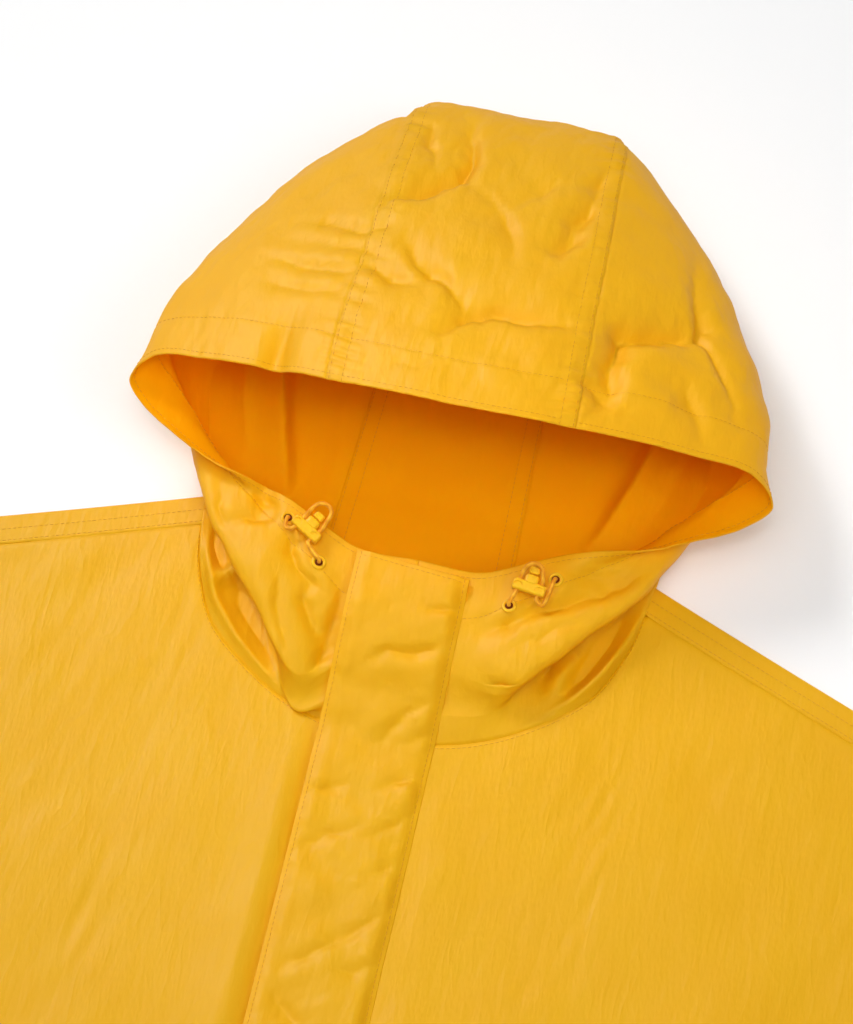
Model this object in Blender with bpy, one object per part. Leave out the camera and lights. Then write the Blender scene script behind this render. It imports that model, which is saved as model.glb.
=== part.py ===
"""Hooded anorak pullover, laid flat on its back with the hood standing open.

Tables and sections are in centimetres and are scaled by CM when a mesh is made.
Origin: on the surface, under the middle of the garment. +X is the wearer's left,
+Y runs from the hem to the crown of the hood, +Z is up from the surface.
"""
import math
from collections import namedtuple

import bmesh
import bpy
import numpy as np
from mathutils import Vector
from mathutils.bvhtree import BVHTree

CM = 0.01

# Cloth
WALL = 0.12            # thickness of every cloth wall
FLAP_WALL = 0.20       # the flap is two layers of cloth
REST_Z = WALL / 2      # middle of a wall that lies on the surface
SEAM_INSET = 0.03      # each panel stops this far short of its seam
NECK_GAP = 0.08        # from the hood's edge to the body's at the neck seam
ARMHOLE_GAP = 0.06     # from the armhole seam to the sleeve's edge

# Body
HEM_Y = -72.0          # from the shoulder point at the neck down to the hem
HEM_HALF = 30.0
SIDE_WAIST = 0.4       # how far the side seam curves in
CHEST_HALF = 31.0
UNDERARM_Y = -31.0
SHOULDER_HALF = 28.5
NECK_HALF = 13.05
SHOULDER_SLOPE = {1: 0.405, -1: 0.335}     # on the wearer's left and right
SHOULDER_Y = -(SHOULDER_HALF - NECK_HALF) * 0.37
YOKE_DEPTH = 1.9       # the back comes this far over the shoulder fold, down the front
SHOULDER_START = 0.15  # from the neck seam to the shoulder's first column
NECK_DROP = 12.35      # the neck seam at the front, below the shoulder point
BACK_NECK_DROP = 2.0
BACK_NECK_RISE = 0.32  # how far below the shoulder point the back neck starts
FRONT_REST = 0.21      # height of the front panel's middle where it lies on the back
FRONT_PUFF = 0.06      # how much the front rises between its edges
NECK_LIFT = 0.28       # how much more it rises at the neck seam
NECK_FALL = 2.2        # how soon that rise fades away from the seam
HEM_FALL = 6.0         # the front comes down over this distance above the hem
SLIT_END_Y = -46.0     # lower end of the front opening, under the flap

# Sleeves
SLEEVE_LENGTH = 58.0
SLEEVE_ANGLE = math.radians(-54.0)
CUFF_WIDTH = 12.5

# Flap over the front opening
FLAP_LEFT = -3.45
FLAP_RIGHT = 3.02
FLAP_TOP_Y = -2.75
FLAP_END_Y = -48.0
FLAP_LIFT = 0.30       # from the middle of the cloth below to the middle of the flap
FLAP_BEND_Y = -13.5    # the flap follows the hood down to here
FLAP_FINE_Y = -16.0    # and has its closer rows down to here

# Hood
CROWN_Y = 25.9
LEAN = 0.09            # how much closer in the wearer's right side of the mouth lies
BRIM_DRIFT = 0.65      # how far the middle of the brim stands off to the left
BACK_DRIFT = -0.35     # the same for the back of the hood
DRIFT_REACH = 9.0
PANEL_SEAM = "panel seam"

# Cord, eyelets and cord locks
CORD_D = 0.23
EYELET_OUTER = 0.43
EYELET_INNER = 0.22
EYELET_HEIGHT = 0.13
BAR_LENGTH = 1.9
BAR_DEPTH = 0.62
BAR_HEIGHT = 0.58
STEM_WIDTH = 0.78
STEM_LENGTH = 0.45
BUTTON_LENGTH = 0.42
CHANNEL_D = 0.34
CHANNEL_OFFSET = 0.62
LOCK_LIFT = 0.62       # from the middle of the cloth to the middle of the bar
LOOP_RADIUS = 0.55     # of the round end of the cord's loop
LOOP_RISE = 0.35       # from the middle of the bar up to the loop's end
EYELET_BASE = WALL / 2 + 0.06

Y_SHIFT = -(CROWN_Y + WALL / 2 + HEM_Y) / 2

YELLOW = (0.86, 0.46, 0.03, 1.0)
TRIM = (0.88, 0.52, 0.05, 1.0)

# One row for each line across the hood from the mouth's edge to the neck seam, on the
# wearer's left. The line runs mouth, band, outer, under, neck. On the front rows "outer"
# is the fold that hangs over the neck seam and "under" the pocket behind it. On the
# back rows "outer" is the widest part and "under" is where the cloth meets the surface.
# hang is 1 where the line turns straight down at "outer" and 0 where it runs on, and
# pocket is 1 where it doubles back at "under" and 0 where it lies flat there.
Section = namedtuple("Section", "name mouth band outer under neck hang pocket")
SECTIONS = [
    Section("front edge", (0.3, -2.5, 3.1), (0.3, -5.2, 2.9), (0.3, -8.2, 2.1), (0.3, -10.4, 1.2),
            (0.3, -12.3), 0.0, 0.0),
    Section("flap edge", (3.4, -2.5, 3.1), (3.4, -5.2, 2.9), (3.4, -8.2, 2.1), (3.4, -10.4, 1.2),
            (3.3, -12.0), 0.0, 0.0),
    Section("eyelets", (5.9, -1.5, 3.3), (6.1, -3.6, 3.4), (6.4, -8.7, 2.4), (6.0, -9.4, 1.1),
            (6.2, -11.0), 1.0, 0.5),
    Section("front fold", (7.8, -0.6, 3.5), (7.9, -2.4, 3.6), (8.4, -6.7, 2.7), (7.5, -6.1, 1.0),
            (8.9, -9.3), 1.0, 1.0),
    Section("lip", (9.9, -0.1, 4.0), (9.6, -1.1, 3.4), (10.4, -4.4, 2.8), (9.3, -4.1, 1.0),
            (11.0, -7.3), 1.0, 1.0),
    Section("lip side", (12.4, 0.4, 4.2), (11.5, 0.3, 3.3), (12.2, -2.2, 2.8), (11.2, -2.1, 0.9),
            (12.4, -4.2), 1.0, 1.0),
    Section("neck point", (15.2, 1.4, 4.9), (13.9, 2.7, 3.8), (14.0, 1.2, 2.6), (12.6, 1.0, 0.9),
            (12.9, -1.5), 1.0, 0.7),
    Section("shoulder", (17.3, 2.5, 5.2), (15.9, 4.4, 4.5), (15.6, 4.4, 2.8), (13.7, 2.9, 0.3),
            (12.98, -0.15), 1.0, 0.2),
    Section("corner", (18.5, 3.6, 6.0), (17.4, 5.7, 5.6), (17.3, 7.4, 4.0), (14.6, 6.2, REST_Z),
            (12.3, None), 1.0, 0.0),
    Section("temple", (16.9, 4.5, 7.7), (17.2, 6.9, 7.2), (17.3, 9.4, 4.8), (14.4, 8.6, REST_Z),
            (10.9, None), 1.0, 0.0),
    Section("side", (13.5, 4.1, 9.3), (13.9, 6.8, 9.1), (15.5, 13.2, 5.0), (12.4, 11.6, REST_Z),
            (8.9, None), 1.0, 0.0),
    Section("upper side", (9.9, 3.6, 10.7), (10.0, 6.4, 10.6), (12.2, 18.9, 5.0),
            (9.4, 15.8, REST_Z), (7.0, None), 1.0, 0.0),
    Section(PANEL_SEAM, (6.9, 3.2, 11.6), (6.9, 6.0, 11.5), (6.4, 25.0, 5.0), (4.7, 21.0, REST_Z),
            (5.4, None), 1.0, 0.0),
    Section("brim", (3.4, 2.8, 12.4), (3.4, 5.6, 12.2), (3.2, 25.8, 5.0), (2.4, 21.7, REST_Z),
            (2.7, None), 1.0, 0.0),
    Section("brim middle", (0.0, 2.7, 12.5), (0.0, 5.5, 12.3), (0.0, CROWN_Y, 5.0),
            (0.0, 21.8, REST_Z), (0.0, None), 1.0, 0.0),
]
# Steps along a line between two of its points
STEPS = {"band": 2, "outer": 7, "under": 4, "neck": 5}
COLUMNS_PER_SECTION = 2

# Large folds of the hood's upper layer, from (x0, y0) to (x1, y1) in plan
Fold = namedtuple("Fold", "x0 y0 x1 y1 width depth")
UPPER_FOLDS = [
    Fold(3.5, 22.0, -1.5, 18.0, 1.8, -0.45),
    Fold(-4.5, 19.0, 0.5, 13.5, 1.6, -0.40),
    Fold(0.5, 12.0, 7.0, 12.5, 2.0, -0.40),
    Fold(8.5, 14.5, 13.5, 9.5, 2.2, -0.50),
    Fold(-6.5, 15.0, -11.5, 12.0, 2.0, -0.35),
]

# Cord lock on each side: the bar's middle and direction, and the two eyelets
LockPlace = namedtuple("LockPlace", "side bar_x bar_y bar_angle upper_x upper_y lower_x lower_y loop")
LOCKS = [
    LockPlace("right", -6.45, -2.35, -31.0, -7.65, -1.75, -5.4, -3.9, 1.45),
    LockPlace("left", 6.35, -3.05, -8.0, 7.65, -2.2, 5.45, -4.15, 1.05),
]


def clear_scene():
    for item in list(bpy.data.objects):
        bpy.data.objects.remove(item, do_unlink=True)


def material(name, color, roughness):
    mat = bpy.data.materials.new(name)
    mat.use_nodes = True
    shader = mat.node_tree.nodes["Principled BSDF"]
    shader.inputs["Base Color"].default_value = color
    shader.inputs["Roughness"].default_value = roughness
    shader.inputs["Metallic"].default_value = 0.0
    return mat


def world(point):
    """A point in centimetres from the shoulder line, as metres from the origin."""
    return Vector((point[0] * CM, (point[1] + Y_SHIFT) * CM, point[2] * CM))


def link(name, mesh, mat):
    mesh.materials.append(mat)
    obj = bpy.data.objects.new(name, mesh)
    bpy.context.scene.collection.objects.link(obj)
    return obj


def cloth(name, grids, mat, wall=WALL, skip=None):
    """A wall of cloth along the middle of the given grids of points, which share their
    common points. skip(i, j) leaves a face of the first grid out."""
    bm = bmesh.new()
    corners = {}

    def corner(point):
        key = tuple(int(round(value * 2000)) for value in point)
        if key not in corners:
            corners[key] = bm.verts.new(world(point))
        return corners[key]

    for number, grid in enumerate(grids):
        for i in range(len(grid) - 1):
            for j in range(len(grid[0]) - 1):
                if number == 0 and skip and skip(i, j):
                    continue
                loop = (grid[i][j], grid[i][j + 1], grid[i + 1][j + 1], grid[i + 1][j])
                face = list(dict.fromkeys(corner(point) for point in loop))
                if len(face) > 2:
                    bm.faces.new(face)
    bmesh.ops.recalc_face_normals(bm, faces=bm.faces[:])
    mesh = bpy.data.meshes.new(name)
    bm.to_mesh(mesh)
    bm.free()
    mesh.shade_smooth()
    obj = link(name, mesh, mat)
    solidify = obj.modifiers.new("wall", "SOLIDIFY")
    solidify.thickness = wall * CM
    solidify.offset = 0.0
    solidify.use_rim = True
    return obj


def hermite(start, start_pull, end, end_pull, count):
    """Points after start up to end of a cubic with the given pulls at its ends."""
    points = []
    for step in range(1, count + 1):
        t = step / count
        a = 2 * t ** 3 - 3 * t ** 2 + 1
        b = t ** 3 - 2 * t ** 2 + t
        c = -2 * t ** 3 + 3 * t ** 2
        d = t ** 3 - t ** 2
        points.append(a * start + b * start_pull + c * end + d * end_pull)
    return points


def unit(vector):
    return vector / max(np.linalg.norm(vector), 1e-9)


def back_neck_y(x):
    """The neck seam on the back, which dips in the middle."""
    return -BACK_NECK_DROP + (BACK_NECK_DROP - BACK_NECK_RISE) * (x / NECK_HALF) ** 2


def front_height(x, y):
    """Middle of the front panel above the surface."""
    ring = math.hypot(x / NECK_HALF, min(y, 0.0) / NECK_DROP)
    neck = NECK_LIFT * math.exp(-NECK_FALL * max(ring - 1.0, 0.0))
    side = side_half(y)
    across = max(1.0 - (x / side) ** 4, 0.0)
    hem = min((y - HEM_Y) / HEM_FALL, 1.0)
    return FRONT_REST + FRONT_PUFF * across * hem + neck


def side_half(y):
    """Half the body's width at a height: armhole, then side seam."""
    if y > UNDERARM_Y:
        t = (SHOULDER_Y - y) / (SHOULDER_Y - UNDERARM_Y)
        return SHOULDER_HALF + (CHEST_HALF - SHOULDER_HALF) * t
    t = (UNDERARM_Y - y) / (UNDERARM_Y - HEM_Y)
    return CHEST_HALF + (HEM_HALF - CHEST_HALF) * t - SIDE_WAIST * math.sin(math.pi * t)


def section_line(row):
    """Points of one section of the hood, from the mouth's edge to the neck seam."""
    mouth = np.array(row.mouth)
    band = np.array(row.band)
    outer = np.array(row.outer)
    under = np.array(row.under)
    if row.neck[1] is None:
        neck = np.array((row.neck[0], back_neck_y(row.neck[0]), REST_Z))
    else:
        on_fold = row.name == "shoulder"
        height = front_height(row.neck[0], row.neck[1])
        neck = np.array((row.neck[0], row.neck[1], (height + REST_Z) / 2 if on_fold else height))
    down = np.array((0.0, 0.0, -1.0))
    drop = 1.5 * (outer[2] - under[2])
    sweep = np.linalg.norm(outer - band)
    at_band = unit(outer - mouth + np.array((0, 0, 0.25 * sweep))) * sweep * 0.9
    flat = neck - under
    flat[2] = 0.0
    turn = row.hang * down * drop + (1 - row.hang) * unit(under - band) * np.linalg.norm(outer - under)
    at_under = (1 - row.pocket) * unit(flat) * 1.5 * np.linalg.norm((outer - under)[:2])
    at_under = at_under + row.pocket * down * drop * 0.6
    leave = (1 - row.pocket) * (neck - under) + row.pocket * down * np.linalg.norm(neck - under) * 0.5
    arrive = (neck - under) * (1 - 0.3 * row.pocket)
    band_pull = at_band * min(1.0, np.linalg.norm(band - mouth) / sweep)
    line = [mouth]
    line += hermite(mouth, band - mouth, band, band_pull, STEPS["band"])
    line += hermite(band, at_band, outer, turn, STEPS["outer"])
    line += hermite(outer, turn, under, at_under, STEPS["under"])
    line += hermite(under, leave, neck, arrive, STEPS["neck"])
    return np.array(line)


def smooth_between(places, values, at):
    """Cubic through values at increasing places, with slopes from the neighbours."""
    places = np.asarray(places)
    values = np.asarray(values)
    k = int(np.clip(np.searchsorted(places, at) - 1, 0, len(places) - 2))

    def slope(i):
        low = max(i - 1, 0)
        high = min(i + 1, len(places) - 1)
        return (values[high] - values[low]) / (places[high] - places[low])

    width = places[k + 1] - places[k]
    t = (at - places[k]) / width
    a = 2 * t ** 3 - 3 * t ** 2 + 1
    b = t ** 3 - 2 * t ** 2 + t
    c = -2 * t ** 3 + 3 * t ** 2
    d = t ** 3 - t ** 2
    return a * values[k] + b * slope(k) * width + c * values[k + 1] + d * slope(k + 1) * width


def hood_sections():
    """Every section from one front edge over the brim to the other, and its place
    along the mouth's edge, measured from the middle of the brim."""
    left = [section_line(row) for row in SECTIONS]
    right = []
    for line in left[:-1]:
        other = line * np.array((-1.0, 1.0, 1.0))
        other[:, 0] += LEAN * np.maximum(line[:, 0] - NECK_HALF, 0.0)
        right.append(other)
    lines = right + left[::-1]
    last = len(left[0]) - 1
    outer_end = STEPS["band"] + STEPS["outer"]
    for line in lines:
        if line[outer_end][1] > 5.0:
            for k, point in enumerate(line):
                if k < outer_end:
                    drift = BRIM_DRIFT * (1 - k / outer_end)
                else:
                    drift = BACK_DRIFT * (k - outer_end) / (last - outer_end)
                point[0] += drift * math.exp(-(point[0] / DRIFT_REACH) ** 4)
    places = [0.0]
    for before, after in zip(lines, lines[1:]):
        places.append(places[-1] + np.linalg.norm(after[0] - before[0]))
    middle = places[-1] / 2
    return np.array([place - middle for place in places]), np.array(lines)


def fold_depth(x, y):
    depth = 0.0
    for fold in UPPER_FOLDS:
        along = np.array((fold.x1 - fold.x0, fold.y1 - fold.y0))
        length = np.linalg.norm(along)
        t = ((x - fold.x0) * along[0] + (y - fold.y0) * along[1]) / length ** 2
        t = min(max(t, 0.0), 1.0)
        gap = math.hypot(x - fold.x0 - t * along[0], y - fold.y0 - t * along[1])
        depth += fold.depth * math.exp(-(gap / fold.width) ** 2)
    return depth


def inset_column(column, neighbour, amount):
    """Moves a boundary column of points towards the next one by a fixed amount."""
    moved = []
    for point, other in zip(column, neighbour):
        moved.append(point + unit(other - point) * amount)
    return np.array(moved)


def hood_grid(low, high):
    """Columns of the hood's middle surface between two places along the mouth."""
    places, lines = hood_sections()
    stops = [low] + [place for place in places if low + 0.1 < place < high - 0.1] + [high]
    at = []
    for before, after in zip(stops, stops[1:]):
        at += list(np.linspace(before, after, COLUMNS_PER_SECTION + 1)[:-1])
    at.append(high)
    columns = np.array([smooth_between(places, lines, place) for place in at])
    band_end = STEPS["band"]
    outer_end = band_end + STEPS["outer"]
    for column in columns:
        for k in range(band_end, outer_end):
            if column[k][1] > 4.0:
                column[k][2] += fold_depth(column[k][0], column[k][1])
        column[:, 2] = np.maximum(column[:, 2], REST_Z)
    return columns


def build_hood(mat):
    """Three panels. Returns their middle surfaces and the neck seam that they share."""
    places, lines = hood_sections()
    names = [row.name for row in SECTIONS]
    seam = -places[names.index(PANEL_SEAM)]
    edge = places[-1]
    panels = [("hood_right", -edge, -seam), ("hood_centre", -seam, seam), ("hood_left", seam, edge)]
    grids = {}
    for name, low, high in panels:
        columns = hood_grid(low, high)
        grids[name] = columns.copy()
        if low > -edge:
            columns[0] = inset_column(columns[0], columns[1], SEAM_INSET)
        if high < edge:
            columns[-1] = inset_column(columns[-1], columns[-2], SEAM_INSET)
        cloth(name, [columns], mat)
    joined = list(grids["hood_right"]) + list(grids["hood_centre"][1:]) + list(grids["hood_left"][1:])
    return grids, [column[-1] for column in joined]


def on_side(sign, columns):
    """Columns of points moved to one side of the body."""
    return [[(sign * x, y, z) for x, y, z in column] for column in columns]


def across(x, y):
    """Where a column of the body that starts at x stands at a distance down."""
    return x / SHOULDER_HALF * (side_half(y) - SEAM_INSET)


def column_down(x, y, height):
    """Points from the top edge of a panel down to the hem, keeping to the side seam."""
    under = (SHOULDER_Y - UNDERARM_Y) / (SHOULDER_Y - HEM_Y)
    steps = list(np.linspace(0, under, 6)) + list(np.linspace(under, 1, 6))[1:]
    points = []
    for t in steps:
        level = y + (HEM_Y - y) * t
        place = across(x, level)
        points.append((place, level, height(place, level)))
    return points


def shoulder_start():
    """The column next to the neck seam, at the shoulder."""
    return (NECK_HALF + SHOULDER_START) / across(1.0, 0.0)


def off_neck(point):
    """A point of the neck seam moved out onto the body by the seam's gap."""
    x, y = point[0], point[1]
    if y > back_neck_y(0.0) * 1.05:
        return x, y - NECK_GAP
    out = unit(np.array((x / NECK_HALF ** 2, y / NECK_DROP ** 2))) * NECK_GAP
    return x + out[0], y + out[1]


def build_back(neck, mat):
    """The back lies on the surface and folds over the shoulders to a seam on the front."""

    def rest(x, y):
        return REST_Z

    sides = {}
    wraps = {}
    for sign, slope in SHOULDER_SLOPE.items():
        half = []
        strips = []
        for x in np.linspace(shoulder_start(), SHOULDER_HALF, 7):
            y = -(x - NECK_HALF) * slope
            radius = (front_height(x, y - YOKE_DEPTH) - REST_Z) / 2
            half.append(column_down(x, y - radius, rest))
            rows = [half[-1][0]]
            start_y = y - radius
            for step in range(1, 7):
                angle = math.pi * step / 6
                level = REST_Z + radius * (1 - math.cos(angle))
                place = start_y + radius * math.sin(angle)
                rows.append((across(x, place), place, level))
            for step in range(1, 3):
                place = start_y - (YOKE_DEPTH - radius - SEAM_INSET) * step / 2
                rows.append((across(x, place), place, rows[6][2]))
            strips.append(rows)
        sides[sign] = on_side(sign, half)
        wraps[sign] = on_side(sign, strips)
    middle = []
    for point in neck:
        if point[2] < 2 * REST_Z and point[1] > back_neck_y(0.0) - 0.1:
            x, y = off_neck(point)
            middle.append(column_down(x / across(1.0, y), y, rest))
    back = sides[-1][::-1] + middle + sides[1]
    cloth("back", [back, wraps[1], wraps[-1][::-1]], mat)


def build_front(neck, mat):
    """The front reaches from the neck seam and the forward shoulder seam to the hem."""
    sides = {}
    for sign, slope in SHOULDER_SLOPE.items():
        top = [(sign * x, y) for x, y, _ in neck if sign * x > 0 and y < -YOKE_DEPTH - 0.25]
        top = sorted((abs(x), y) for x, y in [off_neck((sign * x, y)) for x, y in top])
        half = [column_down(x / across(1.0, y), y, front_height) for x, y in top]
        half.insert(0, column_down(0.02, top[0][1] - 0.01, front_height))
        for x in np.linspace(shoulder_start(), SHOULDER_HALF, 7):
            y = -(x - NECK_HALF) * slope - YOKE_DEPTH - SEAM_INSET
            half.append(column_down(x, y, front_height))
        sides[sign] = on_side(sign, half)
    columns = sides[-1][::-1] + sides[1]
    middle = len(sides[-1]) - 1

    def in_slit(i, j):
        return i == middle and columns[i][j + 1][1] > SLIT_END_Y

    cloth("front", [columns], mat, skip=in_slit)


def build_sleeve(name, sign, mat):
    """A flattened tube from the armhole to the cuff, open at both ends."""
    axis = np.array((math.cos(SLEEVE_ANGLE), math.sin(SLEEVE_ANGLE)))
    inward = np.array((axis[1], -axis[0]))
    tip_y = -(SHOULDER_HALF - NECK_HALF) * SHOULDER_SLOPE[sign]
    tip = np.array((side_half(tip_y) + ARMHOLE_GAP, tip_y))
    underarm = np.array((CHEST_HALF + ARMHOLE_GAP, UNDERARM_Y))
    cuff_outer = tip + axis * SLEEVE_LENGTH
    cuff_inner = cuff_outer + inward * CUFF_WIDTH
    lift = FRONT_REST - REST_Z
    radius = lift / 2
    shares = list(np.linspace(0.0, 1.0, 7))
    rings = []
    for step in range(10):
        t = step / 9
        outer = tip + (cuff_outer - tip) * t
        inner = underarm + (cuff_inner - underarm) * t
        width = np.linalg.norm(inner - outer)
        along = (inner - outer) / width
        flat = [outer + along * (radius + (width - 2 * radius) * share) for share in shares]
        ring = [(x, y, REST_Z) for x, y in flat]
        for k in range(1, 5):
            turn = math.pi * k / 5
            reach = radius * math.sin(turn)
            x, y = flat[-1]
            ring.append((x + along[0] * reach, y + along[1] * reach, REST_Z + radius * (1 - math.cos(turn))))
        ring += [(x, y, FRONT_REST) for x, y in flat[::-1]]
        for k in range(1, 5):
            turn = math.pi * k / 5
            reach = radius * math.sin(turn)
            x, y = flat[0]
            ring.append((x - along[0] * reach, y - along[1] * reach, REST_Z + radius * (1 + math.cos(turn))))
        ring.append(ring[0])
        rings.append([(sign * x, y, z) for x, y, z in ring])
    cloth(name, [rings], mat)


def flap_profile():
    """Height of the flap's middle down the front: over the hood's edge, then the body."""
    line = section_line(SECTIONS[1])
    places = []
    for before, here, after in zip(line, line[1:], line[2:]):
        run = unit((after - before)[1:])
        places.append((here[1] + run[1] * FLAP_LIFT, here[2] - run[0] * FLAP_LIFT))
    for y in np.linspace(FLAP_BEND_Y, FLAP_END_Y, 12):
        places.append((y, front_height(0.0, y) + FLAP_LIFT))
    return np.array(places)[::-1]


def build_flap(mat):
    profile = flap_profile()
    levels = list(np.linspace(FLAP_TOP_Y, FLAP_FINE_Y, 16))
    levels += list(np.linspace(FLAP_FINE_Y, FLAP_END_Y, 8))[1:]
    rows = []
    for y in levels:
        height = np.interp(y, profile[:, 0], profile[:, 1])
        rows.append([(x, y, height) for x in np.linspace(FLAP_LEFT, FLAP_RIGHT, 5)])
    cloth("placket_flap", [rows], mat, wall=FLAP_WALL)


def surface_tree(grids):
    """The hood's middle surface, for placing small pieces on it."""
    points = []
    faces = []
    for grid in grids:
        base = len(points)
        points += [Vector(point) for column in grid for point in column]
        rows = len(grid[0])
        for i in range(len(grid) - 1):
            for j in range(rows - 1):
                k = base + i * rows + j
                faces.append((k, k + rows, k + rows + 1, k + 1))
    return BVHTree.FromPolygons(points, faces)


def on_cloth(tree, x, y):
    """Point and upward direction of the hood's upper surface above (x, y)."""
    spot, normal, _, _ = tree.ray_cast(Vector((x, y, 30.0)), Vector((0, 0, -1)))
    if normal.z < 0:
        normal = -normal
    return np.array(spot), np.array(normal)


def frame_at(spot, along, normal):
    """Axes of a small piece: along, across and up."""
    up = unit(normal)
    x_axis = unit(along - up * np.dot(along, up))
    y_axis = np.cross(up, x_axis)
    return x_axis, y_axis, up


def build_eyelet(name, spot, normal, mat):
    """A turned ring lying on the cloth."""
    profile = [
        (EYELET_INNER, 0.0), (EYELET_INNER, EYELET_HEIGHT * 0.7), (EYELET_INNER + 0.05, EYELET_HEIGHT),
        (EYELET_OUTER - 0.08, EYELET_HEIGHT), (EYELET_OUTER, 0.03), (EYELET_OUTER, 0.0),
    ]
    x_axis, y_axis, up = frame_at(spot, np.array((1.0, 0.0, 0.0)), normal)
    base = spot + up * EYELET_BASE
    count = 16
    bm = bmesh.new()
    rings = []
    for k in range(count):
        angle = 2 * math.pi * k / count
        out = x_axis * math.cos(angle) + y_axis * math.sin(angle)
        rings.append([bm.verts.new(world(base + out * r + up * z)) for r, z in profile])
    for k in range(count):
        here = rings[k]
        there = rings[(k + 1) % count]
        for m in range(len(profile)):
            n = (m + 1) % len(profile)
            bm.faces.new((here[m], there[m], there[n], here[n]))
    bmesh.ops.recalc_face_normals(bm, faces=bm.faces[:])
    mesh = bpy.data.meshes.new(name)
    bm.to_mesh(mesh)
    bm.free()
    mesh.shade_smooth()
    link(name, mesh, mat)


def block(bm, centre, axes, size, bevel):
    """A box with rounded edges, along the given axes."""
    made = bmesh.ops.create_cube(bm, size=1.0)
    for vert in made["verts"]:
        local = [vert.co[k] * size[k] for k in range(3)]
        vert.co = world(centre + sum(axes[k] * local[k] for k in range(3)))
    edges = list({edge for vert in made["verts"] for edge in vert.link_edges})
    bmesh.ops.bevel(bm, geom=edges, offset=bevel * CM, segments=2, affect="EDGES", profile=0.5)


def piece(name, boxes, mat):
    bm = bmesh.new()
    for centre, axes, size, bevel in boxes:
        block(bm, centre, axes, size, bevel)
    bmesh.ops.recalc_face_normals(bm, faces=bm.faces[:])
    mesh = bpy.data.meshes.new(name)
    bm.to_mesh(mesh)
    bm.free()
    mesh.shade_smooth()
    mesh.set_sharp_from_angle(angle=math.radians(40))
    return link(name, mesh, mat)


def add_boolean(obj, other, operation):
    change = obj.modifiers.new(operation.lower(), "BOOLEAN")
    change.operation = operation
    change.object = other
    change.solver = "EXACT"
    other.hide_render = True
    other.display_type = "WIRE"


def build_lock(place, tree, mat, trim_mat):
    """A bar with two cord channels, a stem between them and the push button on the stem,
    with the cord's loop through it and the two eyelets that the cord comes out of."""
    spot, normal = on_cloth(tree, place.bar_x, place.bar_y)
    angle = math.radians(place.bar_angle)
    bar_axis, stem_axis, up = frame_at(spot, np.array((math.cos(angle), math.sin(angle), 0.0)), normal)
    centre = spot + up * LOCK_LIFT
    axes = (bar_axis, stem_axis, up)
    stem_centre = centre + stem_axis * (BAR_DEPTH / 2 + STEM_LENGTH / 2 - 0.1)
    body = piece("lock_" + place.side, [(centre, axes, (BAR_LENGTH, BAR_DEPTH, BAR_HEIGHT), 0.14)], mat)
    stem_size = (STEM_WIDTH, STEM_LENGTH + 0.2, BAR_HEIGHT * 0.84)
    stem = piece("stem_guide_" + place.side, [(stem_centre, axes, stem_size, 0.1)], mat)
    add_boolean(body, stem, "UNION")
    for sign in (-1, 1):
        hole = bmesh.new()
        bmesh.ops.create_cone(hole, cap_ends=True, segments=12, radius1=CHANNEL_D / 2 * CM,
                              radius2=CHANNEL_D / 2 * CM, depth=2 * BAR_DEPTH * CM)
        middle = world(centre + bar_axis * sign * CHANNEL_OFFSET)
        turn = Vector((0, 0, 1)).rotation_difference(Vector(stem_axis)).to_matrix()
        for vert in hole.verts:
            vert.co = middle + turn @ vert.co
        mesh = bpy.data.meshes.new("channel_guide")
        hole.to_mesh(mesh)
        hole.free()
        cutter = link("channel_guide_%s_%d" % (place.side, sign), mesh, mat)
        add_boolean(body, cutter, "DIFFERENCE")
    tip = stem_centre + stem_axis * (STEM_LENGTH / 2 + 0.1 + 0.04 + BUTTON_LENGTH / 2)
    button_size = (STEM_WIDTH * 0.82, BUTTON_LENGTH, BAR_HEIGHT * 0.68)
    piece("button_" + place.side, [(tip, axes, button_size, 0.12)], trim_mat)

    upper, upper_up = on_cloth(tree, place.upper_x, place.upper_y)
    lower, lower_up = on_cloth(tree, place.lower_x, place.lower_y)
    build_eyelet("eyelet_%s_upper" % place.side, upper, upper_up, trim_mat)
    build_eyelet("eyelet_%s_lower" % place.side, lower, lower_up, trim_mat)

    far = 1 if place.side == "left" else -1
    first = centre + bar_axis * far * CHANNEL_OFFSET
    second = centre - bar_axis * far * CHANNEL_OFFSET
    start = WALL / 2 + 0.09
    clear = BAR_DEPTH / 2 + 0.22
    round_end = bar_axis * far * 0.42
    reach = BAR_DEPTH / 2 + place.loop - LOOP_RADIUS
    arch_centre = centre + stem_axis * reach + up * LOOP_RISE
    arch = []
    for turn in np.linspace(0.0, math.pi, 5):
        out = bar_axis * far * math.cos(turn) + stem_axis * math.sin(turn)
        arch.append(arch_centre + out * LOOP_RADIUS)
    route = [
        upper + upper_up * start, upper + upper_up * (start + 0.2) - stem_axis * 0.05,
        first - stem_axis * (clear + 0.14) + round_end - up * 0.12,
        first - stem_axis * clear, first, first + stem_axis * clear,
        *arch,
        second + stem_axis * clear, second, second - stem_axis * clear,
        lower + lower_up * (start + 0.22), lower + lower_up * start,
    ]
    build_cord("cord_" + place.side, route, trim_mat)


def build_cord(name, route, mat):
    """A round cord along a smooth curve through its route."""
    places = [0.0]
    for before, after in zip(route, route[1:]):
        places.append(places[-1] + np.linalg.norm(after - before))
    count = int(places[-1] / (1.3 * CORD_D))
    points = [smooth_between(places, route, at) for at in np.linspace(0, places[-1], count)]
    curve = bpy.data.curves.new(name, "CURVE")
    curve.dimensions = "3D"
    curve.bevel_depth = CORD_D / 2 * CM
    curve.bevel_resolution = 2
    curve.use_fill_caps = True
    spline = curve.splines.new("POLY")
    spline.points.add(len(points) - 1)
    for target, point in zip(spline.points, points):
        target.co = (*world(point), 1.0)
    curve.materials.append(mat)
    obj = bpy.data.objects.new(name, curve)
    bpy.context.scene.collection.objects.link(obj)


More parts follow.
